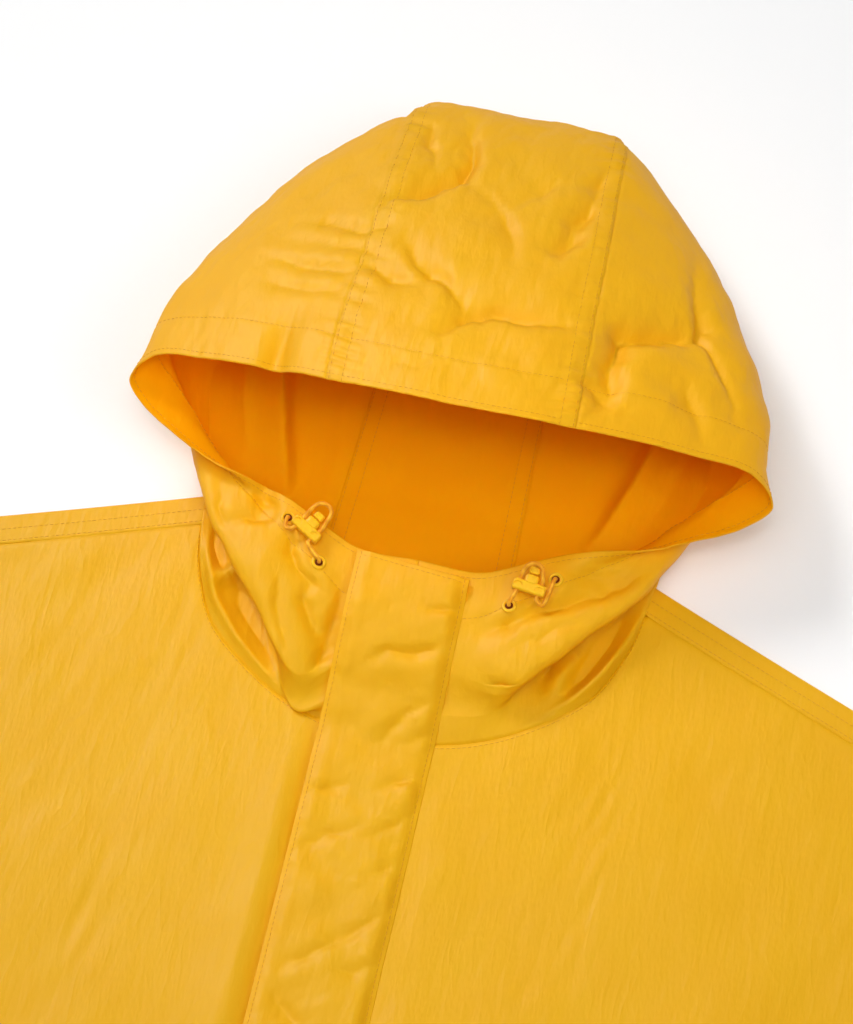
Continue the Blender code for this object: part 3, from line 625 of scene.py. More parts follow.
hood_base[..., 2] = np.maximum(hood_base[..., 2], REST_Z)
hood_row = np.arange(hood_base.shape[1])[None, :] + 0 * stops[:, None]
from_middle = np.abs(hood_base[..., 0])
at_front = (np.abs(stops) > front_place - FRONT_SPAN)[:, None] * (1 - ramp(from_middle, 0.3, 3.0))
hood_base[..., 0] -= np.sign(hood_base[..., 0]) * FRONT_CLOSING * at_front
sag = np.exp(-((hood_base[..., 0] - SAG_X) / SAG_REACH) ** 2) * (stops < -seam_place)[:, None]
sag = sag * ramp(hood_row, BAND_END, OUTER_END) * (1 - ramp(hood_row, UNDER_END, hood_base.shape[1] - 6))
hood_base[..., 1] -= SAG * sag
hood_base[..., 2] -= SAG_SINK * SAG * sag
rim_dip = np.exp(-((hood_base[..., 0] - RIM_DIP_X) / RIM_DIP_REACH) ** 2) * (stops < -seam_place)[:, None]
rim_dip = rim_dip * (1 - ramp(hood_row, 0.0, BAND_END + 1.5 * FINENESS))
hood_base[..., 2] -= RIM_DIP * rim_dip
hood_base[..., 1] += RIM_PULL * RIM_DIP * rim_dip
hood_facing = normals(hood_base)
hood_facing *= np.sign(hood_facing[RIGHT_SEAM, BAND_END + STEPS["outer"] // 2, 2])
hood_down = lengths(hood_base, 1)
hood_over = lengths(hood_base, 0)
hood_x, hood_y = hood_base[..., 0], hood_base[..., 1]
off_band = hood_down - hood_down[:, BAND_END][:, None]
off_right_seam = hood_over - hood_over[RIGHT_SEAM]
off_left_seam = hood_over - hood_over[LEFT_SEAM]
in_centre = (off_right_seam >= 0) & (off_left_seam <= 0)

LIP_CREASES = creases(
    (0.5, 0.3, (-10.4, 0.3, -0.1), (-9.4, -0.4, -0.6), (-8.6, -0.9, -0.55), (-8.1, -1.6, -0.1)),
    (0.3, 0.6, (-8.3, -1.7, -0.15), (-9.6, -2.0, -0.35), (-10.9, -2.6, -0.08)),
    (0.35, 0.7, (-7.4, -2.3, -0.15), (-7.0, -3.6, -0.4), (-6.2, -4.6, -0.35), (-5.0, -5.4, -0.08)),
    (0.4, 0.8, (-5.5, -4.5, -0.1), (-5.6, -6.0, -0.4), (-4.6, -7.6, -0.3), (-4.0, -9.0, -0.05)),
    (0.7, 0.5, (-3.7, -4.6, -0.1), (-3.8, -6.6, -0.4), (-3.9, -9.0, -0.5), (-3.7, -11.2, -0.3)),
    (0.8, 0.5, (-7.4, -4.6, -0.06), (-7.2, -6.4, -0.3), (-6.6, -8.0, -0.24), (-5.6, -9.4, -0.05)),
    (0.5, 0.9, (-11.8, 0.2, -0.05), (-11.6, -1.8, -0.24), (-10.6, -3.4, -0.04)),
    (0.9, 0.5, (4.4, -5.9, -0.08), (5.6, -5.0, -0.3), (6.9, -4.2, -0.5), (8.4, -3.5, -0.5),
     (10.0, -2.5, -0.4), (11.4, -1.4, -0.25), (12.6, -0.4, -0.05)),
    (0.3, 0.4, (5.4, -4.4, -0.1), (5.6, -5.1, -0.3), (6.0, -5.9, -0.05)),
    (0.5, 0.8, (8.0, -0.9, -0.1), (9.2, -1.5, -0.3), (10.8, -1.2, -0.1)),
    (0.6, 1.0, (6.0, -6.6, -0.05), (7.4, -5.6, -0.24), (8.8, -4.6, -0.2), (10.0, -4.0, -0.04)),
    (0.6, 0.9, (3.6, -9.8, -0.1), (4.8, -9.4, -0.4), (6.0, -8.9, -0.5), (7.0, -8.6, -0.1)),
)
LockPlace = namedtuple("LockPlace", "side bar_x bar_y bar_angle upper_x upper_y lower_x lower_y loop")
LOCKS = [
    LockPlace("right", -6.45, -2.35, -31.0, -7.65, -1.75, -5.4, -3.9, 1.45),
    LockPlace("left", 6.35, -3.05, -8.0, 7.65, -2.2, 5.45, -4.15, 1.05),
]
SEAM_SINK = 0.10  # the neck seam draws both its sides down
SEAM_REACH = 0.16
FOLD_WOBBLE = 0.06  # no fold runs quite straight
FOLD_NARROW = 0.8
UPPER_GAIN = 1.25
LIP_GAIN = 1.45
POCKET_NARROW = 0.75
POCKET_FLOOR = 0.16
EYELET_FLAT = 0.85
PUCKER_RISE = 0.075
BAND_PUCKER_RISE = 0.02
INNER_CALM = 0.6  # the layer inside is less rough
SWELL_RISE = 0.05
FACET_RISE = 0.03
UPPER_FACET_RISE = 0.05
FINE_RISE = 0.010
EYELET_CALM = 0.9  # the cloth lies flatter this near an eyelet
# Below the fold that hangs over the neck: ridges beside the seam and pockets under the fold
POCKET_FOLDS = creases(
    (0.5, 0.5, (-12.4, -1.6, 0.05), (-12.0, -3.6, 0.45), (-10.9, -6.2, 0.6), (-9.2, -8.2, 0.5),
     (-7.4, -9.7, 0.35), (-6.2, -10.5, 0.05)),
    (0.6, 0.6, (-12.2, -1.4, -0.2), (-11.7, -2.8, -0.8), (-11.1, -3.9, -0.7), (-10.8, -4.6, -0.1)),
    (0.4, 0.5, (-11.4, -5.4, 0.3), (-10.6, -4.7, 0.8), (-10.0, -4.0, 0.6)),
    (0.6, 0.7, (-10.0, -5.0, -0.3), (-9.1, -6.1, -0.85), (-8.2, -7.1, -0.85), (-7.2, -8.6, -0.4)),
    (0.7, 0.7, (12.7, -2.2, 0.2), (12.2, -4.2, 0.9), (11.1, -6.4, 1.0), (9.8, -8.0, 0.5),
     (8.6, -9.2, 0.05)),
    (0.7, 0.6, (11.6, -2.2, -0.4), (10.9, -4.0, -0.9), (10.0, -6.2, -0.9), (9.4, -7.6, -0.3)),
    (0.6, 0.6, (9.7, -5.2, 0.3), (9.0, -6.6, 0.6), (8.8, -7.8, 0.2)),
    (0.35, 0.35, (8.2, -6.2, -0.4), (7.9, -7.1, -0.6), (8.3, -7.8, -0.1)),
)
# Inside, on the layer that lies on the surface
INNER_FOLDS = creases(
    (2.6, 0.3, (-8.6, 0.4, 0.35), (-8.9, 2.4, 1.15), (-9.8, 5.6, 1.75), (-10.5, 8.6, 1.9),
     (-10.8, 11.5, 1.6), (-10.8, 15.0, 0.8)),
    (0.7, 0.4, (-11.4, 3.4, 0.15), (-12.2, 6.0, 0.45), (-12.8, 9.0, 0.4)),
    (0.5, 2.4, (8.6, 0.6, 0.3), (9.6, 2.6, 0.95), (10.8, 5.8, 1.5), (11.6, 9.0, 1.6), (11.8, 12.5, 1.2),
     (11.4, 16.0, 0.4)),
    (0.5, 0.8, (11.6, 2.6, 0.15), (12.8, 5.6, 0.4), (13.6, 8.6, 0.3)),
    (1.0, 0.6, (-3.8, 2.0, 0.04), (-3.2, 6.0, 0.22), (-3.6, 11.0, 0.12)),
    (0.8, 1.2, (3.4, 1.0, 0.04), (4.2, 5.0, 0.24), (3.6, 9.5, 0.1)),
    (0.9, 0.6, (0.6, 3.0, 0.03), (1.6, 7.5, 0.18), (1.2, 12.0, 0.06)),
    (0.6, 0.9, (-7.0, -0.6, 0.06), (-6.2, 3.5, 0.26), (-6.8, 8.0, 0.12)),
)
upper = 1 - ramp(hood_row, OUTER_END - 1.5 * FINENESS, OUTER_END + 0.5 * FINENESS)
upper = ramp(hood_y, 2.6, 4.2) * upper
lower = (1 - ramp(hood_y, 1.5, 4.0)) * (1 - ramp(hood_row, OUTER_END - FINENESS, OUTER_END + FINENESS))
inner = ramp(hood_row, OUTER_END + FINENESS, UNDER_END - FINENESS)
edge = ramp(hood_down, 0.0, 2.4)
down_left = hood_down[:, -1][:, None] - hood_down
wobble_x = hood_x + FOLD_WOBBLE * ripple(hood_base, 51, 0.8, 2.6)
wobble_y = hood_y + FOLD_WOBBLE * ripple(hood_base, 52, 0.8, 2.6)
hood_lift = UPPER_GAIN * upper * crease_depth(wobble_x, wobble_y, UPPER_CREASES, narrow=FOLD_NARROW)
lip_depth = crease_depth(wobble_x, wobble_y, LIP_CREASES, narrow=FOLD_NARROW)
hood_lift += LIP_GAIN * lower * lip_depth * ramp(hood_down, 0.3, 1.8)
rough = 1 - INNER_CALM * inner
hood_lift += SWELL_RISE * rough * (0.35 + 0.65 * edge) * ripple(hood_base, 21, 2.2, 6.5)
facets = crumple(hood_base, 26, 1.6, 4.5, stretch=2.4)
hood_lift += (FACET_RISE + UPPER_FACET_RISE * upper) * rough * (0.25 + 0.75 * edge) * facets
hood_lift += FINE_RISE * rough * ripple(hood_base, 29, 0.6, 1.2, stretch=3.0)
hood_lift += groove(off_band) + BAND_PUCKER_RISE * pucker(hood_over, off_band, 31, reach=0.5)
for off in (off_right_seam, -off_left_seam):
    hood_lift += PUCKER_RISE * pucker(hood_down, off - FELL_WIDTH / 2, 41, reach=0.9, wave=0.7) * rough
    hood_lift += in_centre * (groove(off - FELL_ROWS[1]) + groove(off - FELL_ROWS[0]))
for lock in LOCKS:
    for x, y in ((lock.upper_x, lock.upper_y), (lock.lower_x, lock.lower_y)):
        near = np.exp(-(np.hypot(hood_x - x, hood_y - y) / EYELET_CALM) ** 2)
        hood_lift *= 1 - EYELET_FLAT * lower * near
hood_lift *= ramp(down_left, 0.0, 0.8)
hood_grid = hood_base + hood_facing * hood_lift[..., None]
low_side = 1 - ramp(hood_y, 1.0, 3.0)
on_body = hood_grid[:, -1:, 2] > 2 * REST_Z
hood_grid[..., 2] -= SEAM_SINK * np.exp(-(down_left / SEAM_REACH) ** 2) * on_body
below = inner * ramp(down_left, 0.0, 0.7)
hood_grid[..., 2] += below * low_side * crease_depth(hood_x, hood_y, POCKET_FOLDS, narrow=POCKET_NARROW)
hood_grid[..., 2] += below * ramp(hood_y, 0.0, 2.0) * crease_depth(hood_x, hood_y, INNER_FOLDS)
hood_grid[..., 2] = np.maximum(hood_grid[..., 2], REST_Z + POCKET_FLOOR * below * low_side)
fell = 0.3 * (1 - ramp(off_right_seam, FELL_WIDTH, FELL_WIDTH + FELL_EDGE))
fell = fell + ramp(off_left_seam, -FELL_WIDTH - FELL_EDGE, -FELL_WIDTH)
centre_grid = hood_grid + hood_facing * (FELL_RISE * fell)[..., None]

HoodPanel = namedtuple("HoodPanel", "name grid first last rests_on")
HOOD_PANELS = [
    HoodPanel("hood_right", hood_grid, 0, RIGHT_SEAM, ["back", "front"]),
    HoodPanel("hood_centre", centre_grid, RIGHT_SEAM, LEFT_SEAM, ["back"]),
    HoodPanel("hood_left", hood_grid, LEFT_SEAM, len(stops) - 1, ["back", "front"]),
]
for panel in HOOD_PANELS:
    span = slice(panel.first, panel.last + 1)
    piece = cloth_piece("cloth_" + panel.name, [panel.grid[span]])
    declare_sheet(panel.name)
neck_line = hood_grid[:, -1]

STITCH_PITCH = 0.30
STITCH_LENGTH = 0.25
STITCH_THICK = 0.030


def trace(field, value, points, facing, across_rows=False):
    """Points and normals where a field crosses a value along each line of a grid's second
    axis, or of its first."""
    if across_rows:
        field, points, facing = (np.swapaxes(one, 0, 1) for one in (field, points, facing))
    crossed = (field[:, :-1] - value) * (field[:, 1:] - value) <= 0
    lines = np.flatnonzero(crossed.any(axis=1))
    k = crossed.argmax(axis=1)[lines]
    t = ((value - field[lines, k]) / (field[lines, k + 1] - field[lines, k]))[:, None]
    spots = points[lines, k] * (1 - t) + points[lines, k + 1] * t
    return spots, unit(facing[lines, k] * (1 - t) + facing[lines, k + 1] * t)


def stitched(name, rows, wall=NYLON_WALL):
    """Rows of stitches, each a pointed grain of thread, joined in one mesh. A row is its
    points, the cloth's normals there and the face it shows on, 1 or -1."""
    rings = []
    for points, facing, face in rows:
        run = np.concatenate([[0.0], np.cumsum(np.linalg.norm(np.diff(points, axis=0), axis=1))])
        count = int(run[-1] / STITCH_PITCH)
        middles = (np.arange(count) + 0.5) * run[-1] / count
        ends = [np.stack([np.interp(middles + shift, run, points[:, k]) for k in range(3)], axis=-1)
                for shift in (-STITCH_LENGTH / 2, STITCH_LENGTH / 2)]
        up = unit(np.stack([np.interp(middles, run, facing[:, k]) for k in range(3)], axis=-1)) * face
        along = ends[1] - ends[0]
        side = unit(np.cross(up, along)) * STITCH_THICK / 2
        middle = (ends[0] + ends[1]) / 2 + up * wall / 2
        rise = up * STITCH_THICK
        one = [middle - along / 2]
        for share in (-0.25, 0.25):
            centre = middle + along * share
            one += [centre + side, centre + rise, centre - side, centre - rise]
        one.append(middle + along / 2)
        rings.append(np.stack(one, axis=1))
    verts = np.concatenate(rings)
    faces = []
    for k, n in ((0, 1), (1, 2), (2, 3), (3, 0)):
        faces += [(0, 1 + n, 1 + k), (1 + k, 1 + n, 5 + n), (1 + k, 5 + n, 5 + k), (9, 5 + k, 5 + n)]
    every = (np.array(faces)[None] + 10 * np.arange(len(verts))[:, None, None]).reshape(-1, 3)
    mesh = bpy.data.meshes.new(name)
    mesh.from_pydata(place(verts.reshape(-1, 3)), [], every)
    mesh.shade_smooth()
    riding_piece(name, mesh, thread)


# The thread is a deeper orange than the cloth: painted shade for the small shadows at the needle holes and
# between the stitches.
thread = speckled_material("polyester_thread_painted_shade", 2600.0, 2.0, ("d68a0a", "eaa614"), (0.4, 0.0001),
                           Roughness=0.5)


def grid_tree(grids):
    """The faces of some grids, for finding what lies below a point."""
    verts = []
    faces = []
    for points in grids:
        first = len(verts)
        columns, rows = points.shape[:2]
        verts += [Vector(point) for point in points.reshape(-1, 3)]
        corners = [first + i * rows + j for i in range(columns - 1) for j in range(rows - 1)]
        faces += [(k, k + rows, k + rows + 1, k + 1) for k in corners]
    return BVHTree.FromPolygons(verts, faces)


def sewn_rows(points, facing, fields):
    """Stitches on both faces of the hood where a field crosses a value."""
    both = []
    for field, value, across_rows in fields:
        row = trace(field, value, points, facing, across_rows)
        both += [(*row, 1), (*row, -1)]
    return both


hood_up = normals(hood_grid)
hood_up *= np.sign((hood_up * hood_facing).sum(axis=-1, keepdims=True))
HEM_ROW = 0.35
stitched("stitches_hood_band", sewn_rows(hood_grid, hood_up, [(off_band, 0.0, False)]))
stitched("stitches_hood_edge", sewn_rows(hood_grid, hood_up, [(hood_down, HEM_ROW, False)]))
for side, off in (("right", off_right_seam), ("left", -off_left_seam)):
    stitched("stitches_hood_%s_seam" % side, sewn_rows(centre_grid, hood_up, [
        (off, value, True) for value in FELL_ROWS]))

# ----------------------------------------------------------
# Back: one panel of the same nylon that lies on the surface and folds over the
# shoulders to a seam on the front, so that it shows as a narrow yoke.
# ----------------------------------------------------------

SHOULDER_SLOPE = {1: 0.405, -1: 0.335}
YOKE_DEPTH = 1.9
SHOULDER_START = 0.15
BACK_TUCK = 0.55  # how far the panels reach in behind the neck
FRONT_TUCK = 0.25
BACK_ROWS = 40


def at_rest(x, y):
    """Middle of the back panel above the surface."""
    return REST_Z + 0 * x


def across(x, y):
    """Where a column of the body that starts at x stands at a distance down."""
    return x / SHOULDER_HALF * (side_half(y) - SEAM_INSET)


def columns_down(starts, count, height):
    """Columns from their points (x, y) on a panel's top edge down to the hem."""
    under = (SHOULDER_Y - UNDERARM_Y) / (SHOULDER_Y - HEM_Y)
    upper = int(count * 0.6)
    steps = np.concatenate([np.linspace(0, under, upper), np.linspace(under, 1, count - upper + 1)[1:]])
    starts = np.asarray(starts)
    level = starts[:, 1:2] + (HEM_Y - starts[:, 1:2]) * steps[None, :]
    x = across(starts[:, 0:1], level)
    return np.stack([x, level, height(x, level)], axis=-1)


def off_neck(points):
    """Points of the neck seam moved out onto the body by the seam's gap."""
    x, y = points[:, 0], points[:, 1]
    out = unit(np.stack([x / NECK_HALF ** 2, y / NECK_DROP ** 2], axis=-1)) * NECK_GAP
    behind = y > back_neck_y(0.0) * 1.05
    return np.where(behind, x, x + out[:, 0]), np.where(behind, y - NECK_GAP, y + out[:, 1])


def top_starts(x, y):
    """(x, y) of a top edge, as the names of the columns that start there."""
    return np.stack([x / across(1.0, y), y], axis=-1)


shoulder_start = (NECK_HALF + SHOULDER_START) / float(across(1.0, 0.0))
back_grids = {}
for sign, slope in SHOULDER_SLOPE.items():
    x = np.linspace(shoulder_start - BACK_TUCK, SHOULDER_HALF, 40)
    y = -(x - NECK_HALF) * slope
    radius = (front_height(x, y - YOKE_DEPTH) - REST_Z) / 2
    flat = columns_down(np.stack([x, y - radius], axis=-1), BACK_ROWS, at_rest)
    turn = np.linspace(0, math.pi, 13)[None, :]
    wrap_y = (y - radius)[:, None] + radius[:, None] * np.sin(turn)
    wrap_z = REST_Z + radius[:, None] * (1 - np.cos(turn))
    run = np.linspace(0, 1, 12)[None, 1:]
    run_y = (y - radius)[:, None] - (YOKE_DEPTH - radius - SEAM_INSET)[:, None] * run
    wrap_y = np.concatenate([wrap_y, run_y], axis=1)
    wrap_z = np.concatenate([wrap_z, np.repeat(wrap_z[:, -1:], run.shape[1], axis=1)], axis=1)
    wrap = np.stack([across(x[:, None], wrap_y), wrap_y, wrap_z], axis=-1)
    back_grids[sign] = (flat * (sign, 1, 1), wrap * (sign, 1, 1))
behind = (neck_line[:, 2] < 2 * REST_Z) & (neck_line[:, 1] > back_neck_y(0.0) - 0.1)
neck_x, neck_y = off_neck(neck_line[behind])
middle = columns_down(top_starts(neck_x, neck_y), BACK_ROWS, at_rest)
back_flat = np.concatenate([back_grids[-1][0][::-1], middle, back_grids[1][0]])
back = cloth_piece("cloth_back", [back_flat, back_grids[1][1], back_grids[-1][1]])
declare_sheet("back")

# ----------------------------------------------------------
# Front: one panel from the neck seam and the forward shoulder seam to the hem, cut open
# down the middle under the flap. Its nylon is finely crinkled down its length.
# ----------------------------------------------------------

SLIT_END_Y = -46.0
FRONT_ROWS = 150
FRONT_CLEAR = 0.03  # above the back panel
CRINKLE_RISE = 0.018
DRAG_RISE = 0.040  # of the wrinkles that run down from the flap
FRONT_FINE_RISE = 0.022
BODY_CREASES = creases(
    (0.28, 2.2, (-4.1, -12.6, 0.2), (-4.2, -18.0, 0.56), (-4.25, -34.0, 0.62), (-4.4, -47.0, 0.1)),
    (2.0, 0.8, (3.9, -12.0, 0.05), (4.4, -20.0, 0.16), (4.5, -36.0, 0.18), (4.6, -47.0, 0.05)),
    (1.6, 2.4, (-20.5, -9.0, -0.04), (-15.0, -12.5, -0.16), (-12.5, -16.0, -0.03)),
    (2.2, 1.4, (-19.0, -22.0, -0.04), (-14.5, -17.5, -0.15), (-12.0, -12.5, -0.03)),
    (1.0, 1.8, (-7.6, -14.0, -0.02), (-6.3, -20.0, -0.1), (-6.0, -27.0, -0.02)),
    (1.8, 1.0, (6.0, -13.5, -0.03), (9.5, -15.5, -0.12), (12.5, -14.5, -0.02)),
    (1.5, 2.0, (8.0, -20.0, -0.02), (13.0, -24.0, -0.12), (19.0, -26.0, -0.03)),
    (2.0, 1.3, (16.5, -9.0, -0.03), (19.0, -13.0, -0.12), (20.5, -19.0, -0.02)),
    (2.5, 1.8, (-28.0, -29.0, -0.12), (-22.0, -31.0, -0.18), (-14.0, -37.0, -0.04)),
    (1.8, 2.5, (28.0, -29.0, -0.12), (21.0, -32.5, -0.18), (13.0, -40.0, -0.04)),
    (2.2, 1.6, (-24.0, -48.0, -0.03), (-15.0, -52.0, -0.14), (-7.0, -58.0, -0.03)),
    (1.6, 2.4, (25.0, -52.0, -0.03), (15.0, -55.0, -0.14), (5.0, -62.0, -0.03)),
)

front_halves = {}
for sign, slope in SHOULDER_SLOPE.items():
    in_front = (neck_line[:, 2] > 2 * REST_Z) & (neck_line[:, 1] < -YOKE_DEPTH - 0.03)
    ours = neck_line[(neck_line[:, 0] * sign > 0) & in_front]
    neck_x, neck_y = off_neck(ours)
    order = np.argsort(np.abs(neck_x))
    starts = top_starts(np.abs(neck_x[order]), neck_y[order])
    first = top_starts(np.array([0.02]), neck_y[order][:1] - 0.01)
    first[0, 0] = 0.02
    x = np.linspace(shoulder_start - FRONT_TUCK, SHOULDER_HALF, 36)
    shoulder = np.stack([x, -(x - NECK_HALF) * slope - YOKE_DEPTH - SEAM_INSET], axis=-1)
    starts = np.concatenate([first, starts[::2], shoulder])
    front_halves[sign] = columns_down(starts, FRONT_ROWS, front_height) * (sign, 1, 1)
front_base = np.concatenate([front_halves[-1][::-1], front_halves[1]])
front_x, front_y = front_base[..., 0], front_base[..., 1]
from_top = lengths(front_base, 1)
from_side = side_half(front_y) - np.abs(front_x)
calm = (0.3 + 0.7 * ramp(from_top, 0.1, 1.4)) * ramp(from_side, 0.0, 1.5)
front_lift = crease_depth(front_x, front_y, BODY_CREASES)
front_lift += SWELL_RISE * ripple(front_base, 81, 4.0, 11.0, stretch=2.2)
drag = ramp(front_x, 1.0, 6.0) * (1 - ramp(-front_y, 26.0, 38.0))
front_lift += CRINKLE_RISE * (1 - drag) * crumple(front_base, 84, 1.2, 3.4, stretch=4.5)
front_lift += DRAG_RISE * drag * crumple(front_base, 85, 0.9, 3.4, grain=(0.72, 0.70), stretch=3.5)
front_lift -= SEAM_SINK * np.exp(-(from_top / SEAM_REACH) ** 2)
front_lift += FRONT_FINE_RISE * ripple(front_base, 87, 0.8, 1.8, stretch=4.0)
front_base[..., 2] += front_lift * calm + 0.02
front_base[..., 2] = np.maximum(front_base[..., 2], REST_Z + NYLON_WALL + FRONT_CLEAR)


def in_slit(centre):
    return abs(centre.x) < 0.02 * CM and centre.y > (SLIT_END_Y + Y_SHIFT) * CM


front = cloth_piece("cloth_front", [front_base], slit=in_slit)
declare_sheet("front")

SEAM_STITCH = 0.22
HEM_STITCH = 2.4
YOKE_MIDDLE = YOKE_DEPTH * 0.52


def flat_row(field, value, points, across_rows=False):
    """A row of stitches on the upper face of cloth that lies flat."""
    upright = np.array((0.0, 0.0, 1.0)) + 0 * points
    return (*trace(field, value, points, upright, across_rows), 1)


columns = front_base.shape[0]
front_rows = []
for half in (slice(0, columns // 2), slice(columns // 2, columns)):
    spots, ups, face = flat_row(from_top[half], SEAM_STITCH, front_base[half])
    neck = np.abs(spots[:, 0]) < NECK_HALF - 0.2
    front_rows.append((spots[neck], ups[neck], face))
front_rows.append(flat_row(-front_y, -(HEM_Y + HEM_STITCH), front_base))
stitched("stitches_front", front_rows)
yoke_rows = []
for sign in (1, -1):
    wrap = back_grids[sign][1]
    on_top = lengths(wrap, 1)[:, -1:] - lengths(wrap, 1)
    yoke_rows += [flat_row(on_top, value, wrap) for value in (SEAM_STITCH, YOKE_MIDDLE)]
stitched("stitches_yoke", yoke_rows)

# ----------------------------------------------------------
# Sleeves: tubes of the same nylon, pressed flat from the armhole to the cuff, which is
# turned and stitched. They lie beside the body with a few bends at the elbow.
# ----------------------------------------------------------

SLEEVE_LENGTH = 58.0
SLEEVE_ANGLE = math.radians(-54.0)
CUFF_WIDTH = 12.5
ARMHOLE_GAP = 0.06
SLEEVE_RINGS = 150
SLEEVE_SEAM = 0.7
CUFF_HEM = 2.4
SLEEVE_CREASES = creases(
    (1.5, 2.4, (2.0, 6.0, -0.03), (6.5, 9.0, -0.13), (13.0, 10.0, -0.04)),
    (2.2, 1.3, (15.0, 15.0, -0.12), (9.0, 19.0, -0.16), (3.0, 20.0, -0.03)),
    (1.4, 2.0, (1.0, 27.0, -0.1), (6.0, 29.5, -0.16), (11.0, 28.0, -0.03)),
    (2.0, 1.4, (1.5, 33.0, -0.04), (5.5, 34.0, -0.14), (12.0, 37.0, -0.1)),
    (1.3, 1.8, (13.0, 42.0, -0.1), (8.0, 44.0, -0.12), (4.0, 48.0, -0.03)),
)
for name, sign in (("sleeve_left", 1), ("sleeve_right", -1)):
    axis = np.array((math.cos(SLEEVE_ANGLE), math.sin(SLEEVE_ANGLE)))
    inward = np.array((axis[1], -axis[0]))
    tip_y = -(SHOULDER_HALF - NECK_HALF) * SHOULDER_SLOPE[sign]
    tip = np.array((float(side_half(tip_y)) + ARMHOLE_GAP, tip_y))
    underarm = np.array((CHEST_HALF + ARMHOLE_GAP, UNDERARM_Y))
    cuff_outer = tip + axis * SLEEVE_LENGTH
    cuff_inner = cuff_outer + inward * CUFF_WIDTH
    radius = (FRONT_REST - REST_Z) / 2
    t = np.linspace(0, 1, SLEEVE_RINGS)[:, None, None]
    outer = tip + (cuff_outer - tip) * t
    inner = underarm + (cuff_inner - underarm) * t
    width = np.linalg.norm(inner - outer, axis=-1, keepdims=True)
    over = (inner - outer) / width
    share = np.linspace(0, 1, 44)[None, :, None]
    flat = outer + over * (radius + (width - 2 * radius) * share)
    turn = (math.pi * np.arange(1, 8) / 8)[None, :, None]
    near = np.concatenate([flat[:, -1:] + over * radius * np.sin(turn),
                           REST_Z + radius * (1 - np.cos(turn)) + 0 * t], axis=-1)
    far = np.concatenate([flat[:, :1] - over * radius * np.sin(turn),
                          REST_Z + radius * (1 + np.cos(turn)) + 0 * t], axis=-1)
    low = np.concatenate([flat, np.full((*flat.shape[:2], 1), REST_Z)], axis=-1)
    reach = share * width + 0 * t
    down = t * SLEEVE_LENGTH + 0 * share
    top = low[:, ::-1].copy()
    reach_top, down_top = reach[:, ::-1, 0], down[:, ::-1, 0]
    calm = ramp(reach_top, 0.0, 1.0) * ramp(width[..., 0] - reach_top, 0.0, 1.0)
    calm = calm * ramp(down_top, 0.0, 1.5) * (0.25 + 0.75 * ramp(SLEEVE_LENGTH - down_top, 2.5, 5.0))
    lift = crease_depth(reach_top, down_top, SLEEVE_CREASES) + 0.16
    lift += 0.06 * ripple(top, 95 + sign, 4.0, 10.0, stretch=1.6)
    lift += 0.04 * crumple(top, 97 + sign, 1.4, 4.0, stretch=2.5)
    top[..., 2] = FRONT_REST + calm * np.maximum(lift, -0.02)
    ring = np.concatenate([low, near, top, far, low[:, :1]], axis=1) * (sign, 1, 1)
    piece = cloth_piece("cloth_" + name, [ring])
    declare_sheet(name)
    stitched("stitches_" + name, [flat_row(down_top, value, top * (sign, 1, 1), True)
                                  for value in (SLEEVE_SEAM, SLEEVE_LENGTH - CUFF_HEM)])

# ----------------------------------------------------------
# Flap: two layers of nylon over the front opening, sewn down along the wearer's left and
# free along the right, edge-stitched all round, and drawn into small puckers.
# ----------------------------------------------------------

